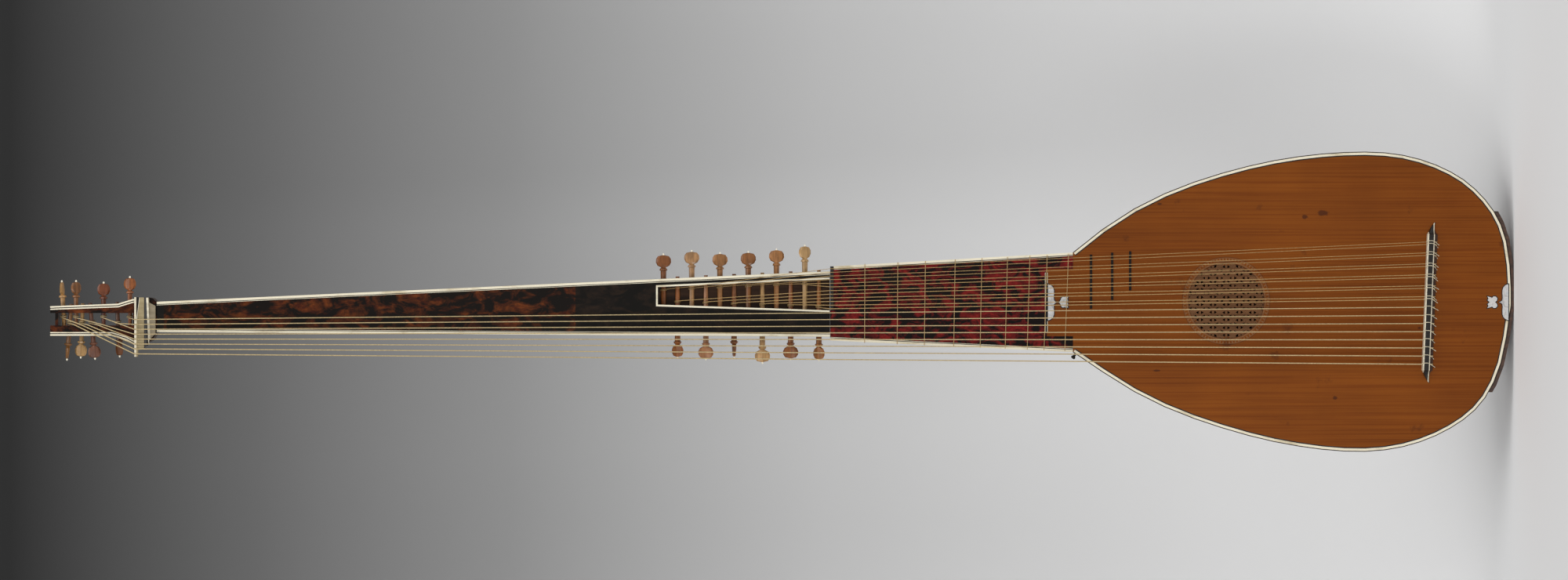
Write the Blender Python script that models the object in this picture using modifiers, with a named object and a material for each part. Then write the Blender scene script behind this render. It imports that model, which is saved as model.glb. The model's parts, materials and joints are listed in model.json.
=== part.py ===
"""An archlute: six double courses over a fretted neck and eight long bass strings on an extension.

The instrument stands on its tail with the neck up +Z. The soundboard faces -Y and the treble side is +X.
The origin lies on the flat of the end clasp that the instrument rests on. All sizes are in metres.
"""

import math

import bmesh
import bpy
from mathutils import Matrix, Vector
from mathutils.geometry import delaunay_2d_cdt

# Clearances
GAP = 0.0003  # between pieces that are glued or lie against each other
STRING_GAP = 0.0004  # between a string and what it passes over

# Body
BODY_LENGTH = 0.5465  # soundboard, from its tail to the neck joint
TREBLE_HALF_WIDTH = 0.1856  # from the centre line to the widest point
BASS_HALF_WIDTH = 0.1858
BOWL_DEPTH = 0.153  # behind the rim at the deepest rib
BOWL_WALL = 0.0022
RIB_COUNT = 13
BODY_STATIONS = 24  # sections of the bowl from tail to neck
FIRST_STATION_SHARE = 0.3  # the flat cap at the tail, as a share of a station
STATION_CROWDING = 1.8  # power that draws the sections together towards the tail
WIDEST_SHARE = 0.36  # of the body's length; the tail side of it is thickened along Z as well
END_LINING = 0.0060  # solid wood at the tail, where the ribs meet
TOP_BLOCK_DEPTH = 0.030  # block inside the bowl that the neck is nailed to
SOUNDBOARD_THICKNESS = 0.0018
FACE_OFFSET = 0.014  # from the origin forward to the soundboard's front

# Share of the body's length, then shares of the treble and bass half widths and of the bowl's depth.
# The last row is the neck joint, whose widths and depth come from the neck.
BODY_OUTLINE = (
    (0.000, 0.000, 0.000, 0.000),
    (0.005, 0.294, 0.110, 0.200),
    (0.020, 0.488, 0.372, 0.420),
    (0.060, 0.684, 0.643, 0.660),
    (0.130, 0.856, 0.829, 0.840),
    (0.240, 0.976, 0.964, 0.965),
    (0.360, 1.000, 1.000, 1.000),
    (0.520, 0.953, 0.945, 0.955),
    (0.680, 0.838, 0.820, 0.830),
    (0.820, 0.677, 0.656, 0.640),
    (0.930, 0.478, 0.463, 0.405),
)

# End clasp round the tail
CLASP_THICKNESS = 0.0031
CLASP_HEIGHT = 0.0225  # along Y at the middle
CLASP_HALF_SPAN = 0.112  # each way from the centre line
CLASP_FLAT = 0.0006  # how deep the clasp is worn flat where it stands

# Rose
ROSE_HEIGHT = 0.6514 * BODY_LENGTH  # centre above the tail rest
ROSE_CENTRE_X = 0.0010
ROSE_RADIUS = 0.0470
ROSE_BAND_SPACING = 0.01633  # between parallel bands of the interlace
ROSE_BAND_WIDTH = 0.0034
ROSE_CORE_BAND = 0.0026  # bands that divide the whole cells
ROSE_CORE_CELLS = 19  # cells, from the centre outwards, that are divided again
ROSE_LEAST_EDGE = 0.0003  # shorter edges of a piercing are merged
ROSE_LEAST_HOLE = 3.0e-6  # square metres; a smaller piercing is left as wood

# Bars under the soundboard
BAR_SHARES = (0.121, 0.271, 0.392, 0.523, 0.769, 0.889)  # heights as shares of the body's length
BAR_WIDTH = 0.0050
BAR_DEPTH = 0.0140
BAR_SHORT = 0.0100  # how far a bar's end stays inside the bowl's wall
JOIN = 0.0004  # how far joined shapes reach into each other
CUT_PAST = 0.0050  # how far a cutter runs past the face it opens

# Wooden half frets on the soundboard
BODY_FRET_DROPS = (0.0260, 0.0522, 0.0745)  # below the neck joint
BODY_FRET_TREBLE = (0.0582, 0.0607, 0.0624)  # x of the treble end
BODY_FRET_BASS = (-0.0087, 0.0023, 0.0140)  # x of the bass end
BODY_FRET_WIDTH = 0.0029
BODY_FRET_PROUD = 0.0008

# Neck and fingerboard
NECK_LENGTH = 0.2966  # from the body to the extension
NECK_ROOT_TREBLE = 0.0582  # half widths at the body
NECK_ROOT_BASS = 0.0601
NECK_TOP_TREBLE = 0.0437  # half widths at the extension
NECK_TOP_BASS = 0.0481
NECK_ROOT_DEPTH = 0.0340  # behind the face
NECK_TOP_DEPTH = 0.0250
FINGERBOARD_THICKNESS = 0.0020
TONGUE_LENGTH = 0.0285  # soundboard on the neck
TONGUE_TREBLE = 0.0407
TONGUE_BASS = 0.0427
LEG_OVERLAP = 0.0035  # legs reach this far onto the body

# Nut of the stopped strings
NUT_WIDTH = 0.0040  # along Z
NUT_HEIGHT = 0.0018  # above the face
NUT_TREBLE = 0.0430
NUT_BASS = -0.0108
NUT_EDGE = 0.0006

# Tied frets, from the nut
FRET_DIAMETER = 0.0009
FRET_GAP = 0.00035
FRET_DISTANCES = (0.0407, 0.0812, 0.1151, 0.1517, 0.1846, 0.2159, 0.2434, 0.2645, 0.2905)
FRET_CORNER_SHARE = 0.3  # how the loop cuts the fingerboard's corner, as a share of its distance
FRET_TILT = 2.2  # degrees at the last fret; the others share it out

# Neck extension
EXTENSION_LENGTH = 0.8330
EXTENSION_ROOT_TREBLE = 0.0378
EXTENSION_ROOT_BASS = -0.0434
EXTENSION_TOP_TREBLE = 0.0000
EXTENSION_TOP_BASS = -0.0378
EXTENSION_DEPTH = 0.0240
EXTENSION_BEVEL = 0.0060  # along the back edges

# Lower pegbox in the extension
CHANNEL_LENGTH = 0.2130
CHANNEL_ROOT_TREBLE = 0.0278
CHANNEL_ROOT_BASS = -0.0106
CHANNEL_TOP_TREBLE = 0.0181
CHANNEL_TOP_BASS = -0.0035
CHANNEL_DEPTH = 0.0200
PEG_DEPTH = 0.0120  # peg axes behind the face
LOWER_PEG_FIRST = 0.0136  # first peg from the extension's foot
LOWER_PEG_PITCH = 0.01752
LOWER_PEGS = ("b6", "t6", "b5", "t5", "b4", "t4", "b3", "t3", "b2", "t2", "b1", "t1")

# Upper pegbox
HEAD_LENGTH = 0.1315  # from the extension's top to the cheek tips
HEAD_DEPTH = 0.0240
HEAD_TREBLE_EDGE = ((0.0000, 0.0000), (0.0045, 0.0042), (0.0100, 0.0052), (0.0300, 0.0032), (0.0480, -0.0023))
HEAD_BASS_EDGE = ((0.0, -0.0378), (0.0045, -0.0470), (0.0100, -0.0500), (0.0260, -0.0543), (0.0390, -0.0475))
HEAD_BASS_STRAIGHT = (0.0560, -0.0422)  # from here the bass cheek runs straight
HEAD_TIP_TREBLE = -0.0055
HEAD_SLOT_TREBLE = -0.0140  # inner faces of the cheeks
HEAD_SLOT_BASS = -0.0294
HEAD_SLOT_START = 0.0288
END_WALL_START = 0.1218
END_WALL_THICKNESS = 0.0035
# Name, distance above the extension's top and tilt of the head towards the tip, in degrees
UPPER_PEGS = (
    ("t4", 0.0345, 0.0),
    ("b4", 0.0495, -3.0),
    ("t3", 0.0670, 0.0),
    ("b3", 0.0820, -5.0),
    ("b2", 0.0936, 2.2),
    ("t2", 0.1012, 0.0),
    ("b1", 0.1085, 4.5),
    ("t1", 0.1164, 3.0),
)

# Upper nut. Distance above the extension's top, treble and bass ends, height above the face
UPPER_NUT_SECTIONS = (
    (0.0010, -0.0052, -0.0395, 0.0030),
    (0.0085, -0.0010, -0.0470, 0.0040),
    (0.0090, 0.0048, -0.0535, 0.0058),
    (0.0115, 0.0050, -0.0545, 0.0058),
    (0.0140, 0.0052, -0.0570, 0.0050),
    (0.0220, 0.0054, -0.0600, 0.0062),
    (0.0225, 0.0056, -0.0679, 0.0072),
    (0.0264, 0.0056, -0.0679, 0.0072),
)
UPPER_NUT_LINE = 0.0245  # where the strings rest, above the extension's top

# Pegs
PEG_SIDES = 8
LOWER_PEG_RADIUS = 0.0036  # at the shoulder
UPPER_PEG_RADIUS = 0.0030
PEG_TAPER = 1 / 70  # loss of radius along the shaft
PEG_CLEARANCE = 0.0003  # all round in the bores
PEG_STAND = 0.0092  # shoulder to the cheek
PEG_POKE = 0.0020  # how far a bass side peg shows beyond the far cheek
LOWER_PEG_SEAT = 0.0100  # how deep a treble side peg enters the far cheek
UPPER_PEG_SEAT = 0.0060
PEG_COLLAR_RADIUS = 0.0050
LOWER_PEG_HEAD_HALF_WIDTH = 0.0097
UPPER_PEG_HEAD_HALF_WIDTH = 0.0080
PEG_HEAD_HALF_THICKNESS = 0.0030
PEG_HEAD_LENGTH = 0.0155
PEG_NECK = 0.0040  # from the shoulder to the head
PEG_PIP_RADIUS = 0.0012
# How far each peg stands out beyond the common seat, and the turn of its head in degrees
PEG_REST = {
    "lower_t1": (0.0006, 4),
    "lower_t2": (0.0032, -8),
    "lower_t3": (-0.0010, 6),
    "lower_t4": (-0.0012, -5),
    "lower_t5": (0.0004, 9),
    "lower_t6": (0.0036, 38),
    "lower_b1": (-0.0024, 40),
    "lower_b2": (-0.0006, 7),
    "lower_b3": (-0.0032, 82),
    "lower_b4": (0.0034, -6),
    "lower_b5": (-0.0015, 5),
    "lower_b6": (-0.0005, 42),
    "upper_t1": (0.0006, 84),
    "upper_t2": (0.0002, 45),
    "upper_t3": (-0.0030, 6),
    "upper_t4": (-0.0010, -8),
    "upper_b1": (0.0000, 80),
    "upper_b2": (-0.0028, 14),
    "upper_b3": (-0.0010, -12),
    "upper_b4": (-0.0060, 46),
}

# Bridge
BRIDGE_HEIGHT = 0.195 * BODY_LENGTH  # middle of the bar above the tail rest
BRIDGE_TREBLE = 0.0832
BRIDGE_BASS = -0.0848
BRIDGE_TILT_DEGREES = 2.2  # degrees; the treble end lies nearer the tail
BRIDGE_BAR_WIDTH = 0.0090
BRIDGE_FOOT = 0.0042  # foot that shows behind the bar
BRIDGE_TALL = 0.0094
BRIDGE_FOOT_TALL = 0.0040
BRIDGE_POINT = 0.0150  # length of the pointed ends
BRIDGE_CURL = 0.0050  # how far the points curl towards the tail
BRIDGE_POINT_LOSS = 0.88  # share of the section that is gone at the tip
BRIDGE_POINT_POWER = 0.6  # below 1, the section narrows quickly at first
BRIDGE_POINT_SHARES = (0.0, 0.08, 0.22, 0.4, 0.6, 0.8, 1.0)  # sections of a point, from the bar to the tip
BRIDGE_STRING_HEIGHT = 0.0070  # string bores above the soundboard
STRING_TAIL = 0.0035  # string behind the bridge

# Strings
COURSES = 6
BASSES = 8
STRING_SIDES = 6
FIRST_STRING_DIAMETER = 0.0006
LAST_STOPPED_DIAMETER = 0.0010
FIRST_BASS_DIAMETER = 0.0011
LAST_BASS_DIAMETER = 0.0014
BRIDGE_FIRST_COURSE = 0.0723
BRIDGE_COURSE_PITCH = 0.01354
BRIDGE_PAIR = 0.0032
BRIDGE_FIRST_BASS = -0.0068
BRIDGE_BASS_PITCH = 0.01007
NUT_FIRST_COURSE = 0.03865
NUT_COURSE_PITCH = 0.00903
NUT_PAIR = 0.0044
UPPER_NUT_FIRST = -0.0219
UPPER_NUT_PITCH = 0.00607
WINDING_TURNS = 1.5
WINDING_POINTS = 10  # points of each turn
WINDING_SPACE = 0.00055  # between turns
WINDING_INSET = 0.0042  # winding from the cheek
LOOSE_END = 0.0010
# The peg of each stopped string from the treble side, and of each bass string
STOPPED_TO_PEG = ("t1", "t2", "t3", "t4", "t5", "t6", "b1", "b2", "b3", "b4", "b5", "b6")
BASS_TO_PEG = ("t4", "b4", "t3", "t2", "b3", "b2", "t1", "b1")

# Strap button
BUTTON_DROP = 0.0078  # below the neck joint
BUTTON_DEPTH = 0.0060  # behind the bowl's rim
BUTTON_RADIUS = 0.0029
BUTTON_LENGTH = 0.0070
BUTTON_SEAT = 0.0008  # its flat base stays this far off the slanted rib

# Levels that follow
FACE_Y = -FACE_OFFSET
RIM_Y = FACE_Y + SOUNDBOARD_THICKNESS + GAP
TAIL_Z = CLASP_THICKNESS + GAP - CLASP_FLAT
NECK_Z = TAIL_Z + BODY_LENGTH
BUTTON_HEIGHT = NECK_Z - BUTTON_DROP
NECK_TOP_Z = NECK_Z + NECK_LENGTH
EXTENSION_Z = NECK_TOP_Z + GAP
EXTENSION_TOP_Z = EXTENSION_Z + EXTENSION_LENGTH
HEAD_Z = EXTENSION_TOP_Z + GAP
HEAD_TOP_Z = HEAD_Z + HEAD_LENGTH
NECK_FACE_Y = FACE_Y + FINGERBOARD_THICKNESS + GAP
NUT_Z = NECK_TOP_Z - NUT_WIDTH
PEG_Y = FACE_Y + PEG_DEPTH

COLOURS = {
    "spruce": ((0.48, 0.17, 0.035), 0.45, 0.0),
    "dark_rib": ((0.055, 0.022, 0.012), 0.35, 0.0),
    "ebony": ((0.012, 0.010, 0.009), 0.35, 0.0),
    "tortoise": ((0.16, 0.03, 0.012), 0.25, 0.0),
    "walnut": ((0.10, 0.045, 0.02), 0.40, 0.0),
    "ivory": ((0.72, 0.62, 0.42), 0.40, 0.0),
    "pear": ((0.22, 0.09, 0.035), 0.40, 0.0),
    "gut": ((0.70, 0.56, 0.34), 0.45, 0.0),
}


def clear_scene():
    for obj in list(bpy.data.objects):
        bpy.data.objects.remove(obj, do_unlink=True)


def new_collection(name):
    collection = bpy.data.collections.new(name)
    bpy.context.scene.collection.children.link(collection)
    return collection


def make_materials():
    made = {}
    for name, (colour, roughness, metallic) in COLOURS.items():
        material = bpy.data.materials.new(name)
        material.use_nodes = True
        shader = material.node_tree.nodes["Principled BSDF"]
        shader.inputs["Base Color"].default_value = (*colour, 1.0)
        shader.inputs["Roughness"].default_value = roughness
        shader.inputs["Metallic"].default_value = metallic
        made[name] = material
    return made


clear_scene()
PARTS = new_collection("archlute")
CUTTERS = new_collection("cutters")
MATERIALS = make_materials()


def add_object(name, data, material=None):
    obj = bpy.data.objects.new(name, data)
    if material is None:
        CUTTERS.objects.link(obj)
        obj.hide_render = True
        obj.display_type = "WIRE"
    else:
        data.materials.append(MATERIALS[material])
        PARTS.objects.link(obj)
    return obj


def lerp(a, b, share):
    return a + (b - a) * share


def smooth_column(rows, column, share):
    """A smooth curve through one column of a table whose first column runs from 0 to 1.

    It runs over the square root of the share, because an outline leaves the tail square to the centre line.
    """
    xs = [math.sqrt(row[0]) for row in rows]
    ys = [row[column] for row in rows]
    x = math.sqrt(share)
    i = max(k for k in range(len(xs) - 1) if xs[k] <= x + 1e-9)

    def slope(k):
        low, high = max(k - 1, 0), min(k + 1, len(xs) - 1)
        return (ys[high] - ys[low]) / (xs[high] - xs[low])

    width = xs[i + 1] - xs[i]
    t = (x - xs[i]) / width
    return (
        (2 * t**3 - 3 * t**2 + 1) * ys[i]
        + (t**3 - 2 * t**2 + t) * width * slope(i)
        + (3 * t**2 - 2 * t**3) * ys[i + 1]
        + (t**3 - t**2) * width * slope(i + 1)
    )


def body_rows():
    neck = (
        1.0,
        NECK_ROOT_TREBLE / TREBLE_HALF_WIDTH,
        NECK_ROOT_BASS / BASS_HALF_WIDTH,
        NECK_ROOT_DEPTH / BOWL_DEPTH,
    )
    return (*BODY_OUTLINE, neck)


def body_section(z):
    """Treble half width, bass half width and bowl depth at the height z."""
    share = min(max((z - TAIL_Z) / BODY_LENGTH, 0.0), 1.0)
    rows = body_rows()
    return (
        TREBLE_HALF_WIDTH * smooth_column(rows, 1, share),
        BASS_HALF_WIDTH * smooth_column(rows, 2, share),
        BOWL_DEPTH * smooth_column(rows, 3, share),
    )


def body_heights():
    """Heights of the sections, closer together towards the tail, where the outline turns square."""
    steps = [FIRST_STATION_SHARE, *range(1, BODY_STATIONS + 1)]
    return [TAIL_Z + BODY_LENGTH * (step / BODY_STATIONS) ** STATION_CROWDING for step in steps]


def loft(rings):
    """A closed mesh through rings of as many points each, with flat caps."""
    bm = bmesh.new()
    rows = [[bm.verts.new(point) for point in ring] for ring in rings]
    for low, high in zip(rows, rows[1:]):
        for k in range(len(low)):
            n = (k + 1) % len(low)
            bm.faces.new((low[k], low[n], high[n], high[k]))
    bm.faces.new(rows[0])
    bm.faces.new(rows[-1])
    bmesh.ops.recalc_face_normals(bm, faces=bm.faces)
    return bm


def mesh_from(bm, name, smooth_angle=None):
    mesh = bpy.data.meshes.new(name)
    bm.to_mesh(mesh)
    bm.free()
    if smooth_angle is not None:
        mesh.shade_smooth()
        mesh.set_sharp_from_angle(angle=math.radians(smooth_angle))
    return mesh


def box_mesh(name, low, high):
    bm = bmesh.new()
    bmesh.ops.create_cube(bm, size=1.0)
    size = Vector(high) - Vector(low)
    bmesh.ops.scale(bm, vec=size, verts=bm.verts)
    bmesh.ops.translate(bm, vec=(Vector(high) + Vector(low)) / 2, verts=bm.verts)
    return mesh_from(bm, name)


def boolean(obj, other, operation="DIFFERENCE"):
    modifier = obj.modifiers.new(operation.title() + "_" + other.name, "BOOLEAN")
    modifier.operation = operation
    modifier.object = other
    modifier.solver = "EXACT"


def signed_area(polygon):
    """Positive where the polygon runs against the clock."""
    pairs = zip(polygon, polygon[1:] + polygon[:1])
    return sum(a[0] * b[1] - b[0] * a[1] for a, b in pairs) / 2


def plate(name, outlines, thickness, front_y, material):
    """A flat piece parallel to the soundboard. The first outline is its edge, the others are holes."""
    outlines = [outline if signed_area(outline) > 0 else outline[::-1] for outline in outlines]
    points = [Vector(point) for outline in outlines for point in outline]
    loops = []
    for outline in outlines:
        first = sum(len(loop) for loop in loops)
        loops.append(list(range(first, first + len(outline))))
    flat, _, triangles, _, _, origins = delaunay_2d_cdt(points, [], loops, 1, 1e-7)
    kept = [triangle for triangle, origin in zip(triangles, origins) if list(origin) == [0]]
    edges = {(t[k - 1], t[k]) for t in kept for k in range(3)}
    bm = bmesh.new()
    front = [bm.verts.new((x, front_y, z)) for x, z in flat]
    back = [bm.verts.new((x, front_y + thickness, z)) for x, z in flat]
    for triangle in kept:
        bm.faces.new([front[k] for k in triangle])
        bm.faces.new([back[k] for k in reversed(triangle)])
    for a, b in sorted(edges):
        if (b, a) not in edges:
            bm.faces.new((front[b], front[a], back[a], back[b]))
    bmesh.ops.delete(bm, geom=[v for v in bm.verts if not v.link_faces], context="VERTS")
    bmesh.ops.recalc_face_normals(bm, faces=bm.faces)
    return add_object(name, mesh_from(bm, name), material)


def tube(name, points, diameter, material, cyclic=False):
    """A round string or wire along the points, as a curve with a bevel and filled caps."""
    curve = bpy.data.curves.new(name, "CURVE")
    curve.dimensions = "3D"
    curve.bevel_depth = diameter / 2
    curve.bevel_resolution = STRING_SIDES // 2 - 2
    curve.use_fill_caps = True
    spline = curve.splines.new("POLY")
    spline.points.add(len(points) - 1)
    for point, co in zip(spline.points, points):
        point.co = (*co, 1.0)
    spline.use_cyclic_u = cyclic
    return add_object(name, curve, material)


def bowl_form(name, grow, front_y, low=0.0, high=None):
    """The bowl's outer form, grown or shrunk, from the height low to the height high."""
    heights = [z for z in body_heights() if z > low and (high is None or z < high)]
    if high is not None:
        heights.append(high)
    rings = []
    for z in heights:
        treble, bass, depth = body_section(z)
        fade = max(0.0, 1.0 - (z - TAIL_Z) / (BODY_LENGTH * WIDEST_SHARE))
        level = z - grow * fade
        ring = []
        for k in range(RIB_COUNT + 1):
            angle = math.pi * k / RIB_COUNT
            across = treble if k <= RIB_COUNT / 2 else bass
            y = RIM_Y + (depth + grow) * math.sin(angle)
            ring.append(((across + grow) * math.cos(angle), y, level))
        if front_y < RIM_Y:
            ring.append((-(bass + grow), front_y, level))
            ring.append((treble + grow, front_y, level))
        rings.append(ring)
    return mesh_from(loft(rings), name)


def make_bowl():
    """Ribs glued into one shell, with the lining at the tail and the top block at the neck."""
    bowl = add_object("bowl", bowl_form("bowl", 0.0, RIM_Y), "dark_rib")
    low = TAIL_Z + END_LINING
    high = NECK_Z - TOP_BLOCK_DEPTH
    hollow = bowl_form("bowl_hollow", -BOWL_WALL, RIM_Y - BOWL_WALL, low, high)
    boolean(bowl, add_object("bowl_hollow", hollow))


def make_end_clasp():
    """A thin strip bent round the tail over the rib ends, flat where the instrument stands."""
    reach = TAIL_Z + BODY_LENGTH * WIDEST_SHARE / 2
    outer = bowl_form("end_clasp", GAP + CLASP_THICKNESS, FACE_Y - GAP, high=reach)
    clasp = add_object("end_clasp", outer, "dark_rib")
    inner = bowl_form("clasp_inside", GAP, FACE_Y - 2 * GAP, high=reach + CLASP_THICKNESS)
    boolean(clasp, add_object("clasp_inside", inner))
    window = box_mesh(
        "clasp_window",
        (-CLASP_HALF_SPAN, FACE_Y + GAP, 0.0),
        (CLASP_HALF_SPAN, FACE_Y + CLASP_HEIGHT, reach / 2),
    )
    boolean(clasp, add_object("clasp_window", window), "INTERSECT")


# Soundboard


def soundboard_outline():
    """The almond outline with the tongue on the neck, up the treble side and down the bass side."""
    shoulder = NECK_Z - LEG_OVERLAP - GAP
    heights = [z for z in body_heights() if z < shoulder]
    treble_side = [(body_section(z)[0], z) for z in heights]
    bass_side = [(-body_section(z)[1], z) for z in heights]
    treble, bass, _ = body_section(shoulder)
    top = NECK_Z + TONGUE_LENGTH
    tongue = [
        (treble, shoulder),
        (TONGUE_TREBLE, shoulder),
        (TONGUE_TREBLE, top),
        (-TONGUE_BASS, top),
        (-TONGUE_BASS, shoulder),
        (-bass, shoulder),
    ]
    return treble_side + tongue + bass_side[::-1]


def clip(polygon, normal, reach):
    """The part of a convex polygon where the product with the normal stays under reach."""
    kept = []
    for a, b in zip(polygon, polygon[1:] + polygon[:1]):
        side_a = a[0] * normal[0] + a[1] * normal[1] - reach
        side_b = b[0] * normal[0] + b[1] * normal[1] - reach
        if side_a <= 0:
            kept.append(a)
        if (side_a < 0) != (side_b < 0):
            share = side_a / (side_a - side_b)
            kept.append((lerp(a[0], b[0], share), lerp(a[1], b[1], share)))
    return kept


def cleaned(polygon):
    """The polygon without points that nearly coincide."""
    kept = []
    for point in polygon:
        if all(math.dist(point, other) > ROSE_LEAST_EDGE for other in kept):
            kept.append(point)
    return kept


def rose_piercings():
    """Holes of the rose: the cells that three families of parallel bands, 60 degrees apart, leave open."""
    normals = [(math.cos(math.radians(a)), math.sin(math.radians(a))) for a in (90, 150, 210)]
    rows = range(-math.ceil(ROSE_RADIUS / ROSE_BAND_SPACING), math.ceil(ROSE_RADIUS / ROSE_BAND_SPACING) + 1)
    edge = ROSE_BAND_SPACING / 2 - ROSE_BAND_WIDTH / 2
    cells = []
    for i in rows:
        for j in rows:
            for k in rows:
                cell = [
                    (ROSE_RADIUS * math.cos(math.tau * n / 24), ROSE_RADIUS * math.sin(math.tau * n / 24))
                    for n in range(24)
                ]
                for normal, row in zip(normals, (i, j, k)):
                    middle = row * ROSE_BAND_SPACING
                    cell = clip(cell, normal, middle + edge)
                    cell = clip(cell, (-normal[0], -normal[1]), edge - middle) if cell else cell
                    if not cell:
                        break
                cell = cleaned(cell)
                if len(cell) > 2 and signed_area(cell) > ROSE_LEAST_HOLE:
                    cells.append(cell)
    return cells


def middle_of(polygon):
    return (
        sum(point[0] for point in polygon) / len(polygon),
        sum(point[1] for point in polygon) / len(polygon),
    )


def split_cell(cell):
    """A hexagonal cell divided into six small piercings by bands from corner to corner."""
    cx, cz = middle_of(cell)
    parts = []
    for a, b in zip(cell, cell[1:] + cell[:1]):
        wedge = [(cx, cz), a, b]
        for start, end in ((wedge[0], wedge[1]), (wedge[2], wedge[0])):
            normal = (end[1] - start[1], start[0] - end[0])
            length = math.hypot(*normal)
            normal = (normal[0] / length, normal[1] / length)
            inside = normal[0] * (a[0] + b[0] + cx) / 3 + normal[1] * (a[1] + b[1] + cz) / 3
            reach = normal[0] * start[0] + normal[1] * start[1]
            sign = 1 if inside < reach else -1
            wedge = clip(wedge, (sign * normal[0], sign * normal[1]), sign * reach - ROSE_CORE_BAND / 2)
        parts.append(wedge)
    return parts


def rose_holes():
    cells = rose_piercings()
    hexagons = sorted((c for c in cells if len(c) == 6), key=lambda c: round(math.hypot(*middle_of(c)), 6))
    holes = [c for c in cells if c not in hexagons[:ROSE_CORE_CELLS]]
    for cell in hexagons[:ROSE_CORE_CELLS]:
        holes += split_cell(cell)
    return [[(x + ROSE_CENTRE_X, z + ROSE_HEIGHT) for x, z in hole] for hole in holes]


def make_soundboard():
    """The pierced board with its cross bars behind it and three wooden half frets on it."""
    outlines = [soundboard_outline()] + rose_holes()
    board = plate("soundboard", outlines, SOUNDBOARD_THICKNESS, FACE_Y, "spruce")
    back = FACE_Y + SOUNDBOARD_THICKNESS
    for n, share in enumerate(BAR_SHARES, 1):
        z = share * BODY_LENGTH
        treble, bass, _ = body_section(z)
        low = (-(bass - BAR_SHORT), back - JOIN, z - BAR_WIDTH / 2)
        high = (treble - BAR_SHORT, back + BAR_DEPTH, z + BAR_WIDTH / 2)
        boolean(board, add_object(f"bar_{n}", box_mesh(f"bar_{n}", low, high)), "UNION")
    ends = zip(BODY_FRET_DROPS, BODY_FRET_TREBLE, BODY_FRET_BASS)
    for n, (drop, treble, bass) in enumerate(ends, 1):
        z = NECK_Z - drop
        low = (bass, FACE_Y - BODY_FRET_PROUD, z - BODY_FRET_WIDTH / 2)
        high = (treble, FACE_Y + JOIN, z + BODY_FRET_WIDTH / 2)
        boolean(board, add_object(f"body_fret_{n}", box_mesh(f"body_fret_{n}", low, high)), "UNION")


# Neck and what lies on it


def neck_section(z):
    """Treble half width, bass half width and depth of the neck at the height z."""
    share = (z - NECK_Z) / NECK_LENGTH
    return (
        lerp(NECK_ROOT_TREBLE, NECK_TOP_TREBLE, share),
        lerp(NECK_ROOT_BASS, NECK_TOP_BASS, share),
        lerp(NECK_ROOT_DEPTH, NECK_TOP_DEPTH, share),
    )


def make_neck():
    """A tapered half round with a flat front for the fingerboard and flat ends."""
    rings = []
    for z in (NECK_Z + GAP, NECK_TOP_Z):
        treble, bass, depth = neck_section(z)
        ring = [(treble, NECK_FACE_Y, z)]
        for k in range(1, RIB_COUNT):
            angle = math.pi * k / RIB_COUNT
            across = treble if k <= RIB_COUNT / 2 else bass
            ring.append((across * math.cos(angle), RIM_Y + depth * math.sin(angle), z))
        ring.append((-bass, NECK_FACE_Y, z))
        rings.append(ring)
    add_object("neck", mesh_from(loft(rings), "neck", smooth_angle=40), "walnut")


def make_fingerboard():
    """A thin board level with the soundboard, with a leg on each side of the soundboard's tongue."""
    leg_end = NECK_Z - LEG_OVERLAP
    treble_end, bass_end, _ = body_section(leg_end)
    tongue_top = NECK_Z + TONGUE_LENGTH + GAP
    nut_treble = neck_section(NUT_Z - GAP)[0]
    outline = [
        (nut_treble, NUT_Z - GAP),
        (NECK_ROOT_TREBLE, NECK_Z),
        (treble_end, leg_end),
        (TONGUE_TREBLE + GAP, leg_end),
        (TONGUE_TREBLE + GAP, tongue_top),
        (-TONGUE_BASS - GAP, tongue_top),
        (-TONGUE_BASS - GAP, leg_end),
        (-bass_end, leg_end),
        (-NECK_ROOT_BASS, NECK_Z),
        (-NECK_TOP_BASS, NECK_TOP_Z),
        (NUT_BASS - GAP, NECK_TOP_Z),
        (NUT_BASS - GAP, NUT_Z - GAP),
    ]
    plate("fingerboard", [outline], FINGERBOARD_THICKNESS, FACE_Y, "tortoise")


def make_nut():
    low = (NUT_BASS, FACE_Y - NUT_HEIGHT, NUT_Z)
    high = (NUT_TREBLE, NECK_FACE_Y - GAP, NECK_TOP_Z)
    nut = add_object("nut", box_mesh("nut", low, high), "ebony")
    round_edges(nut, NUT_EDGE)


def round_edges(obj, width):
    modifier = obj.modifiers.new("Bevel", "BEVEL")
    modifier.width = width
    modifier.segments = 2
    modifier.limit_method = "ANGLE"


def fret_loop(z, tilt):
    """Points of a loop of gut drawn round the neck, its bass side higher by the tilt."""
    off = FRET_GAP + FRET_DIAMETER / 2

    def placed(reach, y, share):
        """A point on the loop, with the neck's width taken at the point's own height."""
        side = neck_section(z)[0 if reach > 0 else 1]
        level = z - reach * side * math.tan(tilt)
        width = neck_section(level)[0 if reach > 0 else 1]
        return (reach * (width + off * share), y, level)

    cut = FRET_CORNER_SHARE
    points = [placed(1.0, FACE_Y - off, cut), placed(1.0, FACE_Y - off * cut, 1.0)]
    points.append(placed(1.0, NECK_FACE_Y, 1.0))
    for k in range(1, RIB_COUNT):
        angle = math.pi * k / RIB_COUNT
        depth = neck_section(z)[2] + off
        points.append(placed(math.cos(angle), RIM_Y + depth * math.sin(angle), 1.0))
    points.append(placed(-1.0, NECK_FACE_Y, 1.0))
    points += [placed(-1.0, FACE_Y - off * cut, 1.0), placed(-1.0, FACE_Y - off, cut)]
    return points


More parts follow.
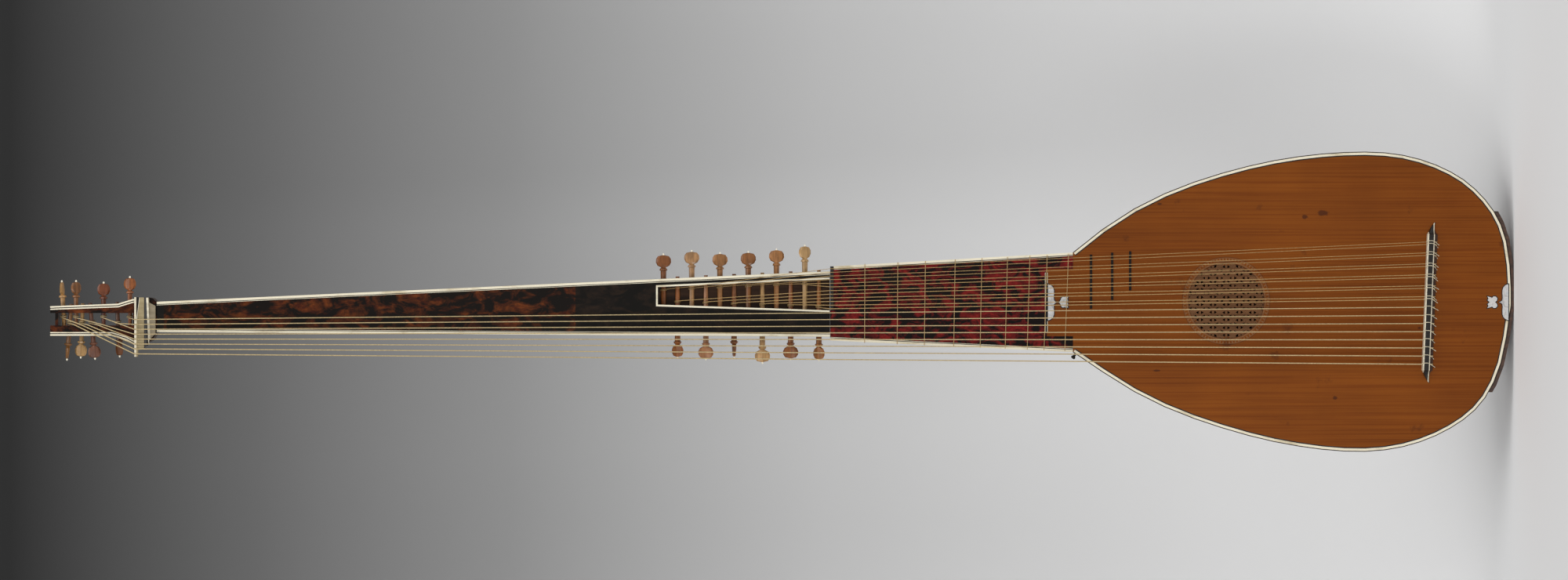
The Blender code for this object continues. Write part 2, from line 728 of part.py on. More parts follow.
def make_tied_frets():
    for n, distance in enumerate(FRET_DISTANCES, 1):
        z = NUT_Z + NUT_WIDTH / 2 - distance
        tilt = math.radians(FRET_TILT * n / len(FRET_DISTANCES))
        fret = tube(f"tied_fret_{n}", fret_loop(z, tilt), FRET_DIAMETER, "gut", cyclic=True)
        fret.data.transform(Matrix.Translation((0.0, 0.0, -z)))
        fret.location = (0.0, 0.0, z)


# Extension and its pegbox


def bevelled_section(treble, bass, front, back, bevel, z):
    """A bar's section with its two back edges rounded in two steps."""
    inner = back - bevel
    ring = [(treble, front, z)]
    for angle in (0, 45, 90):
        a = math.radians(angle)
        ring.append((treble - bevel + bevel * math.cos(a), inner + bevel * math.sin(a), z))
    for angle in (90, 45, 0):
        a = math.radians(angle)
        ring.append((bass + bevel - bevel * math.cos(a), inner + bevel * math.sin(a), z))
    ring.append((bass, front, z))
    return ring


def extension_edges(z):
    share = (z - EXTENSION_Z) / EXTENSION_LENGTH
    return (
        lerp(EXTENSION_ROOT_TREBLE, EXTENSION_TOP_TREBLE, share),
        lerp(EXTENSION_ROOT_BASS, EXTENSION_TOP_BASS, share),
    )


def channel_edges(z):
    """The pegbox's inner faces, treble then bass."""
    share = (z - EXTENSION_Z) / CHANNEL_LENGTH
    return (
        lerp(CHANNEL_ROOT_TREBLE, CHANNEL_TOP_TREBLE, share),
        lerp(CHANNEL_ROOT_BASS, CHANNEL_TOP_BASS, share),
    )


def make_extension():
    """A tapered bar whose foot is hollowed into the lower pegbox."""
    back = FACE_Y + EXTENSION_DEPTH
    rings = []
    for z in (EXTENSION_Z, EXTENSION_TOP_Z):
        treble, bass = extension_edges(z)
        rings.append(bevelled_section(treble, bass, FACE_Y, back, EXTENSION_BEVEL, z))
    mesh = mesh_from(loft(rings), "extension", smooth_angle=50)
    extension = add_object("extension", mesh, "walnut")
    rings = []
    for z in (EXTENSION_Z - CUT_PAST, EXTENSION_Z + CHANNEL_LENGTH):
        treble, bass = channel_edges(z)
        front, floor = FACE_Y - CUT_PAST, FACE_Y + CHANNEL_DEPTH
        rings.append([(treble, front, z), (treble, floor, z), (bass, floor, z), (bass, front, z)])
    channel = add_object("lower_channel", mesh_from(loft(rings), "lower_channel"))
    boolean(extension, channel)
    drill(extension, lower_pegs())


def head_outline():
    """The upper pegbox seen from the front: corbel, treble cheek, open tip and bass cheek."""
    tip = HEAD_Z + HEAD_LENGTH
    notch = HEAD_Z + END_WALL_START + END_WALL_THICKNESS
    outline = [(x, HEAD_Z + z) for z, x in HEAD_TREBLE_EDGE]
    outline += [
        (HEAD_TIP_TREBLE, tip),
        (HEAD_SLOT_TREBLE, tip),
        (HEAD_SLOT_TREBLE, notch),
        (HEAD_SLOT_BASS, notch),
        (HEAD_SLOT_BASS, tip),
        (HEAD_BASS_STRAIGHT[1], tip),
        (HEAD_BASS_STRAIGHT[1], HEAD_Z + HEAD_BASS_STRAIGHT[0]),
    ]
    outline += [(x, HEAD_Z + z) for z, x in reversed(HEAD_BASS_EDGE)]
    return outline


def make_upper_pegbox():
    """Two cheeks joined by the corbel block and the end wall, open at the front and at the back."""
    slot = [
        (HEAD_SLOT_TREBLE, HEAD_Z + HEAD_SLOT_START),
        (HEAD_SLOT_TREBLE, HEAD_Z + END_WALL_START),
        (HEAD_SLOT_BASS, HEAD_Z + END_WALL_START),
        (HEAD_SLOT_BASS, HEAD_Z + HEAD_SLOT_START),
    ]
    head = plate("upper_pegbox", [head_outline(), slot], HEAD_DEPTH, FACE_Y, "walnut")
    drill(head, upper_pegs())


def make_upper_nut():
    """A capital of stepped plates that carries the bass strings above the pegbox."""
    rings = []
    for z, treble, bass, height in UPPER_NUT_SECTIONS:
        level = HEAD_Z + z
        seat, top = FACE_Y - GAP, FACE_Y - GAP - height
        rings.append([(treble, seat, level), (bass, seat, level), (bass, top, level), (treble, top, level)])
    add_object("upper_nut", mesh_from(loft(rings), "upper_nut"), "ivory")


# Pegs


class Peg:
    """One tuning peg: its axis, the places of its shoulder and tip, and its taper."""

    def __init__(self, name, box, z, middle, near, far, tilt, radius, head):
        self.name = name
        self.box = box
        self.side = 1 if name.startswith("t") else -1
        self.stand, self.turn = PEG_REST[f"{box}_{name}"]
        tilt = math.radians(tilt)
        self.axis = Vector((self.side * math.cos(tilt), 0.0, math.sin(tilt)))
        self.centre = Vector((middle, PEG_Y, z))
        self.shoulder = (near - middle) * self.side + PEG_STAND + self.stand
        self.tip = (far - middle) * self.side
        self.radius = radius
        self.head = head

    def radius_at(self, along):
        """Shaft radius at a distance from the centre towards the head."""
        return self.radius - (self.shoulder - along) * PEG_TAPER

    def matrix(self, along, turn=0.0):
        across = Vector((0.0, 1.0, 0.0))
        frame = Matrix((self.axis, across, self.axis.cross(across))).transposed().to_4x4()
        place = Matrix.Translation(self.centre + self.axis * along)
        return place @ frame @ Matrix.Rotation(math.radians(turn), 4, "X")


def lower_pegs():
    """Treble pegs end inside the solid bass cheek, bass pegs show beyond the treble cheek."""
    pegs = []
    for n, name in enumerate(LOWER_PEGS):
        z = EXTENSION_Z + LOWER_PEG_FIRST + n * LOWER_PEG_PITCH
        treble_edge, bass_edge = extension_edges(z)
        treble_face, bass_face = channel_edges(z)
        middle = (treble_face + bass_face) / 2
        if name.startswith("t"):
            near, far = treble_edge, bass_face - LOWER_PEG_SEAT
        else:
            near, far = bass_edge, treble_edge + PEG_POKE
        size = (LOWER_PEG_RADIUS, LOWER_PEG_HEAD_HALF_WIDTH)
        pegs.append(Peg(name, "lower", z, middle, near, far, 0.0, *size))
    return pegs


def head_edge(points, z):
    """x of a cheek's outer edge at a height above the extension's top."""
    for (z0, x0), (z1, x1) in zip(points, points[1:]):
        if z <= z1:
            return lerp(x0, x1, (z - z0) / (z1 - z0))
    return points[-1][1]


def upper_pegs():
    pegs = []
    treble_points = (*HEAD_TREBLE_EDGE, (HEAD_LENGTH, HEAD_TIP_TREBLE))
    bass_points = (*HEAD_BASS_EDGE, HEAD_BASS_STRAIGHT)
    middle = (HEAD_SLOT_TREBLE + HEAD_SLOT_BASS) / 2
    for name, height, tilt in UPPER_PEGS:
        treble_edge = head_edge(treble_points, height)
        bass_edge = head_edge(bass_points, height)
        if name.startswith("t"):
            near, far = treble_edge, HEAD_SLOT_BASS - UPPER_PEG_SEAT
        else:
            near, far = bass_edge, treble_edge + PEG_POKE
        size = (UPPER_PEG_RADIUS, UPPER_PEG_HEAD_HALF_WIDTH)
        pegs.append(Peg(name, "upper", HEAD_Z + height, middle, near, far, tilt, *size))
    return pegs


def cone(bm, peg, start, end, clearance):
    """A tapered cylinder on the peg's axis, from start to end, clear of the shaft by the given amount."""
    flats = math.cos(math.pi / PEG_SIDES)
    near = (peg.radius_at(end) + clearance) / flats
    far = (peg.radius_at(start) + clearance) / flats
    along_x = Matrix.Rotation(math.pi / 2, 4, "Y")
    bmesh.ops.create_cone(
        bm,
        cap_ends=True,
        segments=PEG_SIDES,
        radius1=far,
        radius2=near,
        depth=end - start,
        matrix=peg.matrix((start + end) / 2) @ along_x,
    )


def drill(obj, pegs):
    """The pegs' bores. Each side has a cutter of its own, because neighbouring bores come close."""
    for side in (1, -1):
        bm = bmesh.new()
        for peg in pegs:
            if peg.side == side:
                cone(bm, peg, peg.tip - PEG_POKE, peg.shoulder + PEG_STAND, PEG_CLEARANCE)
        name = f"{obj.name}_bores_{'treble' if side > 0 else 'bass'}"
        boolean(obj, add_object(name, mesh_from(bm, name)))


def peg_rows(peg):
    """Half width, half thickness and place of each ring of a peg, from its tip to its pip."""
    length = peg.shoulder - peg.tip
    tip = peg.radius_at(peg.tip)
    rows = [
        (-length, tip, tip),
        (0.0, peg.radius, peg.radius),
        (0.0006, PEG_COLLAR_RADIUS, PEG_COLLAR_RADIUS),
        (0.0026, PEG_COLLAR_RADIUS * 0.9, PEG_COLLAR_RADIUS * 0.9),
        (PEG_NECK, peg.radius * 0.75, peg.radius * 0.75),
    ]
    for share in (0.16, 0.42, 0.70, 0.92):
        swell = math.sqrt(max(0.0, 1 - ((share - 0.52) / 0.56) ** 2))
        thickness = lerp(PEG_HEAD_HALF_THICKNESS, PEG_HEAD_HALF_THICKNESS * 0.6, share)
        rows.append((PEG_NECK + PEG_HEAD_LENGTH * share, peg.head * swell, thickness))
    end = PEG_NECK + PEG_HEAD_LENGTH
    rows += [
        (end, PEG_PIP_RADIUS * 0.9, PEG_PIP_RADIUS * 0.9),
        (end + PEG_PIP_RADIUS, PEG_PIP_RADIUS, PEG_PIP_RADIUS),
        (end + PEG_PIP_RADIUS * 1.9, PEG_PIP_RADIUS * 0.5, PEG_PIP_RADIUS * 0.5),
    ]
    return rows


def make_peg(peg):
    """A turned tapered shaft with a collar, a flat round head and a bone pip."""
    rings = []
    for x, half_width, half_thickness in peg_rows(peg):
        ring = []
        for k in range(PEG_SIDES):
            angle = math.tau * k / PEG_SIDES
            ring.append((x, half_thickness * math.sin(angle), half_width * math.cos(angle)))
        rings.append(ring)
    name = f"{peg.box}_peg_{peg.name}"
    obj = add_object(name, mesh_from(loft(rings), name, smooth_angle=60), "pear")
    obj.matrix_world = peg.matrix(peg.shoulder, peg.turn)


# Bridge


def bridge_section(x, size, curl):
    """The bridge's section at x, scaled by size and moved towards the tail by curl."""
    half = BRIDGE_BAR_WIDTH / 2
    profile = (
        (half, 0.0),
        (half * 0.9, BRIDGE_TALL * 0.85),
        (half * 0.6, BRIDGE_TALL),
        (-half * 0.7, BRIDGE_TALL),
        (-half, BRIDGE_TALL * 0.88),
        (-half - BRIDGE_FOOT * 0.1, BRIDGE_FOOT_TALL),
        (-half - BRIDGE_FOOT, BRIDGE_FOOT_TALL * 0.6),
        (-half - BRIDGE_FOOT, 0.0),
    )
    return [(x, -GAP - height * size, depth * size - curl) for depth, height in profile]


def make_bridge():
    """A bar drilled for the strings, with a foot behind it and ends that curl to a point."""
    treble_rings = []
    bass_rings = []
    for share in BRIDGE_POINT_SHARES:
        size = 1.0 - BRIDGE_POINT_LOSS * share**BRIDGE_POINT_POWER
        curl = BRIDGE_CURL * share**2
        treble_rings.append(bridge_section(BRIDGE_TREBLE + share * BRIDGE_POINT, size, curl))
        bass_rings.append(bridge_section(BRIDGE_BASS - share * BRIDGE_POINT, size, curl))
    rings = bass_rings[::-1] + treble_rings
    bm = loft(rings)
    tilt = Matrix.Rotation(math.radians(BRIDGE_TILT_DEGREES), 4, "Y")
    bmesh.ops.transform(bm, matrix=Matrix.Translation((0, FACE_Y, BRIDGE_HEIGHT)) @ tilt, verts=bm.verts)
    bridge = add_object("bridge", mesh_from(bm, "bridge", smooth_angle=35), "ebony")
    bm = bmesh.new()
    for string in strings():
        clear = (string.diameter / 2 + STRING_GAP) / math.cos(math.pi / STRING_SIDES)
        place = Vector((string.bridge_x, FACE_Y - BRIDGE_STRING_HEIGHT, BRIDGE_HEIGHT))
        bmesh.ops.create_cone(
            bm,
            cap_ends=True,
            segments=STRING_SIDES,
            radius1=clear,
            radius2=clear,
            depth=4 * BRIDGE_BAR_WIDTH,
            matrix=Matrix.Translation(place),
        )
    boolean(bridge, add_object("bridge_bores", mesh_from(bm, "bridge_bores")))


# Strings


class StringLine:
    """One string: where it crosses the bridge and the nut, its diameter and its peg."""

    def __init__(self, name, diameter, bridge_x, nut_x, nut_z, nut_height, nut_length, peg, edge):
        self.name = name
        self.diameter = diameter
        self.bridge_x = bridge_x
        self.nut_x = nut_x
        self.nut_z = nut_z
        self.nut_y = FACE_Y - nut_height - STRING_GAP - diameter / 2
        self.nut_length = nut_length
        self.peg = peg
        self.edge = edge


def head_slot_edges(z):
    return HEAD_SLOT_TREBLE, HEAD_SLOT_BASS


def strings():
    lower = {peg.name: peg for peg in lower_pegs()}
    upper = {peg.name: peg for peg in upper_pegs()}
    lines = []
    for n, peg in enumerate(STOPPED_TO_PEG):
        course, half = divmod(n, 2)
        side = 0.5 - half
        share = n / (len(STOPPED_TO_PEG) - 1)
        lines.append(
            StringLine(
                f"string_{course + 1}{'ab'[half]}",
                lerp(FIRST_STRING_DIAMETER, LAST_STOPPED_DIAMETER, share),
                BRIDGE_FIRST_COURSE - course * BRIDGE_COURSE_PITCH + side * BRIDGE_PAIR,
                NUT_FIRST_COURSE - course * NUT_COURSE_PITCH + side * NUT_PAIR,
                NUT_Z,
                NUT_HEIGHT,
                NUT_WIDTH,
                lower[peg],
                channel_edges,
            )
        )
    for n, peg in enumerate(BASS_TO_PEG):
        share = n / (BASSES - 1)
        lines.append(
            StringLine(
                f"string_{COURSES + 1 + n}",
                lerp(FIRST_BASS_DIAMETER, LAST_BASS_DIAMETER, share),
                BRIDGE_FIRST_BASS - n * BRIDGE_BASS_PITCH,
                UPPER_NUT_FIRST - n * UPPER_NUT_PITCH,
                HEAD_Z + UPPER_NUT_LINE,
                UPPER_NUT_SECTIONS[-1][3] + GAP,
                UPPER_NUT_SECTIONS[-1][0] - UPPER_NUT_LINE,
                upper[peg],
                head_slot_edges,
            )
        )
    return lines


def winding_radius(line, along):
    """Radius of the string's middle round the shaft, so that its chords stay clear of it."""
    shaft = line.peg.radius_at(along + WINDING_TURNS * (line.diameter + WINDING_SPACE))
    return (shaft + PEG_CLEARANCE + line.diameter / 2) / math.cos(math.pi / WINDING_POINTS)


def winding(line, start):
    """The turns round the peg, from where a straight line from start touches it, and the loose end."""
    peg = line.peg
    treble_face, bass_face = line.edge(peg.centre.z)
    pitch = line.diameter + WINDING_SPACE
    face = treble_face if peg.side > 0 else bass_face
    middle_x = face - peg.side * WINDING_INSET
    way = 1 if middle_x > start.x else -1
    first_x = middle_x - way * WINDING_TURNS * pitch / 2
    along_x = peg.axis * peg.side
    first = peg.centre + along_x * ((first_x - peg.centre.x) / along_x.x)
    radius = winding_radius(line, abs(first_x - peg.centre.x))
    up = Vector((-along_x.z, 0.0, along_x.x))
    front = Vector((0.0, -1.0, 0.0))
    offset = start - first
    reach = math.hypot(offset.dot(up), offset.dot(front))
    touch = math.atan2(offset.dot(front), offset.dot(up)) - math.acos(radius / reach)
    count = round(WINDING_TURNS * WINDING_POINTS)
    points = []
    for k in range(count + 1):
        angle = touch - math.tau * k / WINDING_POINTS
        around = up * math.cos(angle) + front * math.sin(angle)
        points.append(first + along_x * (way * pitch * k / WINDING_POINTS) + around * radius)
    leave = (points[-1] - points[-2]).normalized()
    points.append(points[-1] + leave * (line.diameter + LOOSE_END))
    return points


def over_cheek(line, start):
    """The place where the string passes the cheek's edge, if a straight line would cut into it."""
    peg = line.peg
    lift = line.diameter / 2 + STRING_GAP
    treble_face, bass_face = line.edge(peg.centre.z)
    face = treble_face if peg.side > 0 else bass_face
    target = Vector((face - peg.side * WINDING_INSET, PEG_Y, peg.centre.z))
    target.y = PEG_Y - winding_radius(line, 0.0)
    low, high = 0.0, 1.0
    inside = [edge - side * lift for edge, side in zip(line.edge(start.z), (1, -1))]
    if inside[1] <= start.x <= inside[0]:
        return []
    for _ in range(40):
        share = (low + high) / 2
        point = start.lerp(target, share)
        inside = [edge - side * lift for edge, side in zip(line.edge(point.z), (1, -1))]
        if inside[1] <= point.x <= inside[0]:
            high = share
        else:
            low = share
    point = start.lerp(target, high)
    if point.y <= FACE_Y - lift:
        return []
    point.y = FACE_Y - lift
    return [point]


def string_route(line):
    tilt = math.tan(math.radians(BRIDGE_TILT_DEGREES))
    bridge_z = BRIDGE_HEIGHT - line.bridge_x * tilt
    bridge_y = FACE_Y - BRIDGE_STRING_HEIGHT
    behind = bridge_z - BRIDGE_BAR_WIDTH / 2 - STRING_TAIL
    before = bridge_z + BRIDGE_BAR_WIDTH / 2
    nut = Vector((line.nut_x, line.nut_y, line.nut_z))
    beyond = nut + Vector((0.0, 0.0, line.nut_length))
    route = [
        Vector((line.bridge_x, bridge_y, behind)),
        Vector((line.bridge_x, bridge_y, before)),
        nut,
        beyond,
    ]
    route += over_cheek(line, beyond)
    return route + winding(line, route[-1])


def least_gap(points, diameter):
    """The least clear distance between stretches of one tube that aren't neighbours, measured on points."""
    dense = []
    for a, b in zip(points, points[1:]):
        steps = max(1, int((b - a).length / (diameter / 2)))
        dense += [a.lerp(b, k / steps) for k in range(steps)]
    apart = math.ceil(4 * diameter / (diameter / 2))
    least = math.inf
    for i, point in enumerate(dense):
        for other in dense[i + apart :]:
            least = min(least, (point - other).length)
    return least - diameter


def make_strings():
    gaps = []
    for line in strings():
        route = string_route(line)
        tube(line.name, route, line.diameter, "gut")
        gaps.append(least_gap(route[-(round(WINDING_TURNS * WINDING_POINTS) + 3) :], line.diameter))
    print(f"Least gap of a winding to itself: {min(gaps) * 1000:.2f} mm")


# Strap button


def make_strap_button():
    """A turned button on the bass side of the bowl, made as a profile round its own axis."""
    _, bass, depth = body_section(BUTTON_HEIGHT)
    angle = math.pi / RIB_COUNT
    corner = (bass * math.cos(angle), depth * math.sin(angle))
    base = -lerp(bass, corner[0], BUTTON_DEPTH / corner[1])
    rise = body_section(BUTTON_HEIGHT - BUTTON_RADIUS)[1] - body_section(BUTTON_HEIGHT + BUTTON_RADIUS)[1]
    slant = math.atan2(rise, 2 * BUTTON_RADIUS)
    bm = bmesh.new()
    profile = (
        (0.0, BUTTON_LENGTH),
        (BUTTON_RADIUS * 0.7, BUTTON_LENGTH * 0.95),
        (BUTTON_RADIUS, BUTTON_LENGTH * 0.75),
        (BUTTON_RADIUS * 0.9, BUTTON_LENGTH * 0.6),
        (BUTTON_RADIUS * 0.5, BUTTON_LENGTH * 0.35),
        (BUTTON_RADIUS * 0.6, 0.0),
        (0.0, 0.0),
    )
    verts = [bm.verts.new((radius, 0.0, height)) for radius, height in profile]
    for a, b in zip(verts, verts[1:]):
        bm.edges.new((a, b))
    button = add_object("strap_button", mesh_from(bm, "strap_button"), "ebony")
    screw = button.modifiers.new("Screw", "SCREW")
    screw.steps = 10
    screw.render_steps = 10
    screw.use_merge_vertices = True
    screw.merge_threshold = 0.00001
    button.rotation_euler = (0.0, slant - math.pi / 2, 0.0)
    button.location = (
        base - BUTTON_SEAT * math.cos(slant),
        RIM_Y + BUTTON_DEPTH,
        BUTTON_HEIGHT + BUTTON_SEAT * math.sin(slant),
    )


def main():
    make_bowl()
    make_end_clasp()
    make_soundboard()
    make_neck()
    make_fingerboard()
    make_nut()
    make_bridge()
    make_extension()
    make_upper_pegbox()
    make_upper_nut()
    make_strap_button()
    for peg in lower_pegs() + upper_pegs():
        make_peg(peg)
    make_strings()
    make_tied_frets()


main()
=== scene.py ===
"""Looks of the archlute: materials, inlay, ornaments, light and camera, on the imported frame."""

import json
import math
import random

import bmesh
import bpy
from mathutils import Matrix, Vector


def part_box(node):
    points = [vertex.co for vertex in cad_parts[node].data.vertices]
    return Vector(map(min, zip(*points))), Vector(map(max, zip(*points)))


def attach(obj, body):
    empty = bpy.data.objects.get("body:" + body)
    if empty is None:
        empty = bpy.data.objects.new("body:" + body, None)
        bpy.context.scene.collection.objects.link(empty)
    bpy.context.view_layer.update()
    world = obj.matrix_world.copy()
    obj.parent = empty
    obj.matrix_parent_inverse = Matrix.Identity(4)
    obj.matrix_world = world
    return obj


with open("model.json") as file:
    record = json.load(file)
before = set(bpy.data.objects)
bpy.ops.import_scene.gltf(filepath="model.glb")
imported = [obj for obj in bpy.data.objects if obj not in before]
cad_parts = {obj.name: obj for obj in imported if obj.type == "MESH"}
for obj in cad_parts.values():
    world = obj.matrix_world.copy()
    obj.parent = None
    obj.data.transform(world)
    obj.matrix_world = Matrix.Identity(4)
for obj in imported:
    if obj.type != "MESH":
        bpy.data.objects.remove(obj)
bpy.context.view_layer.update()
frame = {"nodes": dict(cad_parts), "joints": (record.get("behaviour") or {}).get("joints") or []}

BODY = "instrument"

# Levels and edges taken from the frame
FACE_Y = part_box("fingerboard")[0].y

# Inlay, in metres
PROUD = 0.00012  # inlay above the wood
SUNK = 0.0002  # and into it
EDGE_START = 0.0001  # inlay keeps this far from the edge
EDGE_IVORY = 0.0030
EDGE_BLACK = 0.0009
SHOULDER_GAP = 0.0004  # between the soundboard's edge lines and the fingerboard's legs
BOARD_DARK = 0.0011  # lines round the soundboard, measured from its edge
BOARD_IVORY = 0.0040
BOARD_BLACK = 0.0054
HALF_FRET_EDGE = 0.0002  # wood this far above the board is a half fret
VENEER = 0.0008  # thickness of the front plates
JOINT_LINE = 1.0098  # joint between two plates of the extension
JOINT_WIDTH = 0.0006
PLATE_START = 1.1611  # from here up the plates are amber
PLATE_END = 1.6704  # and from here black
BRIDGE_SLOPE = -0.0384  # of the bridge across the soundboard
FINE_LINE = 0.0005
ORNAMENT_EDGE = 0.0011
ORNAMENT_X = -0.0006  # middle of the ornaments
NECK_BRACKET_Z = 0.5765
NECK_TULIP_Z = 0.5638
TAIL_BRACKET_Z = 0.0068
TAIL_TULIP_Z = 0.0206
BRIDGE_BACK = 0.1021  # back and front of the bridge's bar on the centre line
BRIDGE_FRONT = 0.1111
LOOP_PROUD = 0.0002  # the loops of gut over the bridge
LOOP_SIDE = 0.0012
LOOP_RADIUS = 0.00042
CHANNEL_BORDER = 0.0022
SIDE_SLACK = 0.0020  # a long side may be this much inside the straight line
NOTCH = 0.006  # a step inwards of more than this at an end isn't the side any more
TONGUE_LINE = ((-0.0380, 0.5768), (0.0360, 0.5768))  # ends of the lines above the tongue
CHANNEL_FOOT = ((-0.0106, 0.8466), (0.0278, 0.8466))  # corners of the lower pegbox's opening
CHANNEL_HEAD = ((-0.0035, 1.0592), (0.0181, 1.0592))
# Worn marks on the soundboard: x, z, half width, half height
WORN_MARKS = (
    (0.1098, 0.2360, 0.0042, 0.0085),
    (0.1050, 0.2585, 0.0030, 0.0040),
    (-0.1190, 0.2215, 0.0028, 0.0032),
    (0.1212, 0.4385, 0.0018, 0.0040),
    (-0.0853, 0.4420, 0.0016, 0.0052),
    (-0.0325, 0.1170, 0.0020, 0.0026),
)
ROSE_CENTRE = (0.0010, 0.3560)
ROSE_RADIUS = 0.0470
ROSE_SPACING = 0.01633
ROSE_BAND = 0.0036
ROSE_CORE_BAND = 0.0030
ROSE_STRIPES = 3
ROSE_STEP = 0.0001  # one layer of ribbons over the next
ROSE_DOTS = 84
ROSE_DOT_RADIUS = 0.0514
ROSE_DOT_LENGTH = 0.0024
ROSE_DOT_WIDTH = 0.0014
STAGE_REACH = 6.0
STAGE_FRONT = 1.3
STAGE_STEPS = 12
BACKDROP_Y = 0.55
BACKDROP_CURVE = 0.40
# Height on the backdrop and its tone: painted shade, palest at the floor and darker with height as the
# light falls off
BACKDROP_SHADE_TONES = (
    (0.03, 0.95),
    (0.20, 0.84),
    (0.43, 0.75),
    (0.85, 0.55),
    (1.275, 0.285),
    (1.614, 0.14),
    (1.95, 0.03),
)
WORLD_STRENGTH = 0.36
KEY_PLACE = (-1.7, -3.4, 0.9)
KEY_SIZE = 1.6
KEY_POWER = 52.0
FILL_PLACE = (2.6, -3.2, 0.7)
FILL_SIZE = 2.4
FILL_POWER = 40.0
TOP_PLACE = (0.6, -1.2, 3.3)
TOP_SIZE = 2.0
TOP_POWER = 30.0
HEAD_MIDDLE = -0.0220
HEAD_CORE = 0.0120  # half width of the notch in the upper pegbox's end
HEAD_START = 1.6890
RIB_COUNT = 13
SEAM_REACH = 0.0012  # how near a vertex has to be to a joint of two ribs
FILLET_HALF = 0.0006
FILLET_PROUD = 0.00005
PEG_GREEN = 0.88  # the pegs' woods under the shine are warmer than they look
PEG_BLUE = 0.55
LEVEL = 2.0e-5  # how near the face a vertex has to be

random.seed(7)


# Materials


class Shader:
    """A node material built step by step round one Principled BSDF."""

    def __init__(self, name, roughness=0.45, coat=0.0, specular=0.5):
        self.material = bpy.data.materials.new(name)
        self.material.use_nodes = True
        self.nodes = self.material.node_tree.nodes
        self.links = self.material.node_tree.links
        self.bsdf = self.nodes["Principled BSDF"]
        self.bsdf.inputs["Roughness"].default_value = roughness
        self.bsdf.inputs["Coat Weight"].default_value = coat
        self.bsdf.inputs["Coat Roughness"].default_value = 0.18
        self.bsdf.inputs["Specular IOR Level"].default_value = specular
        self.place = self.nodes.new("ShaderNodeTexCoord").outputs["Object"]

    def feed(self, socket, value):
        if isinstance(value, bpy.types.NodeSocket):
            self.links.new(value, socket)
        else:
            socket.default_value = value

    def stretched(self, scale):
        mapping = self.nodes.new("ShaderNodeMapping")
        mapping.inputs["Scale"].default_value = scale
        self.links.new(self.place, mapping.inputs["Vector"])
        return mapping.outputs["Vector"]

    def noise(self, scale, detail=3.0, roughness=0.5, vector=None, distortion=0.0):
        node = self.nodes.new("ShaderNodeTexNoise")
        node.inputs["Scale"].default_value = scale
        node.inputs["Detail"].default_value = detail
        node.inputs["Roughness"].default_value = roughness
        node.inputs["Distortion"].default_value = distortion
        self.links.new(vector or self.place, node.inputs["Vector"])
        return node.outputs["Fac"]

    def ramp(self, factor, stops):
        node = self.nodes.new("ShaderNodeValToRGB")
        elements = node.color_ramp.elements
        while len(elements) < len(stops):
            elements.new(0.5)
        for element, (place, colour) in zip(elements, stops):
            element.position = place
            element.color = (*colour, 1.0) if len(colour) == 3 else colour
        self.links.new(factor, node.inputs["Fac"])
        return node.outputs["Color"]

    def math(self, operation, a, b=0.0):
        node = self.nodes.new("ShaderNodeMath")
        node.operation = operation
        self.feed(node.inputs[0], a)
        self.feed(node.inputs[1], b)
        return node.outputs[0]

    def mix(self, factor, a, b, blend="MIX"):
        node = self.nodes.new("ShaderNodeMix")
        node.data_type = "RGBA"
        node.blend_type = blend
        self.feed(node.inputs["Factor"], factor)
        self.feed(node.inputs[6], a if isinstance(a, bpy.types.NodeSocket) else (*a, 1.0))
        self.feed(node.inputs[7], b if isinstance(b, bpy.types.NodeSocket) else (*b, 1.0))
        return node.outputs[2]

    def axis(self, name):
        node = self.nodes.new("ShaderNodeSeparateXYZ")
        self.links.new(self.place, node.inputs[0])
        return node.outputs[name]

    def colour(self, value):
        self.feed(self.bsdf.inputs["Base Color"], value)

    def rough(self, value):
        self.feed(self.bsdf.inputs["Roughness"], value)

    def spot(self, centre, size):
        """Share of a worn mark with a ragged edge at this place."""
        offset = self.nodes.new("ShaderNodeVectorMath")
        offset.operation = "SUBTRACT"
        self.links.new(self.place, offset.inputs[0])
        offset.inputs[1].default_value = centre
        scaled = self.nodes.new("ShaderNodeVectorMath")
        scaled.operation = "DIVIDE"
        self.links.new(offset.outputs["Vector"], scaled.inputs[0])
        scaled.inputs[1].default_value = size
        length = self.nodes.new("ShaderNodeVectorMath")
        length.operation = "LENGTH"
        self.links.new(scaled.outputs["Vector"], length.inputs[0])
        ragged = self.math("ADD", length.outputs["Value"], self.noise(260.0, detail=3.0))
        edge = self.math("SUBTRACT", ragged, 0.5)
        return self.ramp(edge, ((0.55, (0.8, 0.8, 0.8)), (1.0, (0.0, 0.0, 0.0))))

    def bump(self, height, strength, distance=0.0002):
        node = self.nodes.new("ShaderNodeBump")
        node.inputs["Strength"].default_value = strength
        node.inputs["Distance"].default_value = distance
        self.links.new(height, node.inputs["Height"])
        self.links.new(node.outputs["Normal"], self.bsdf.inputs["Normal"])


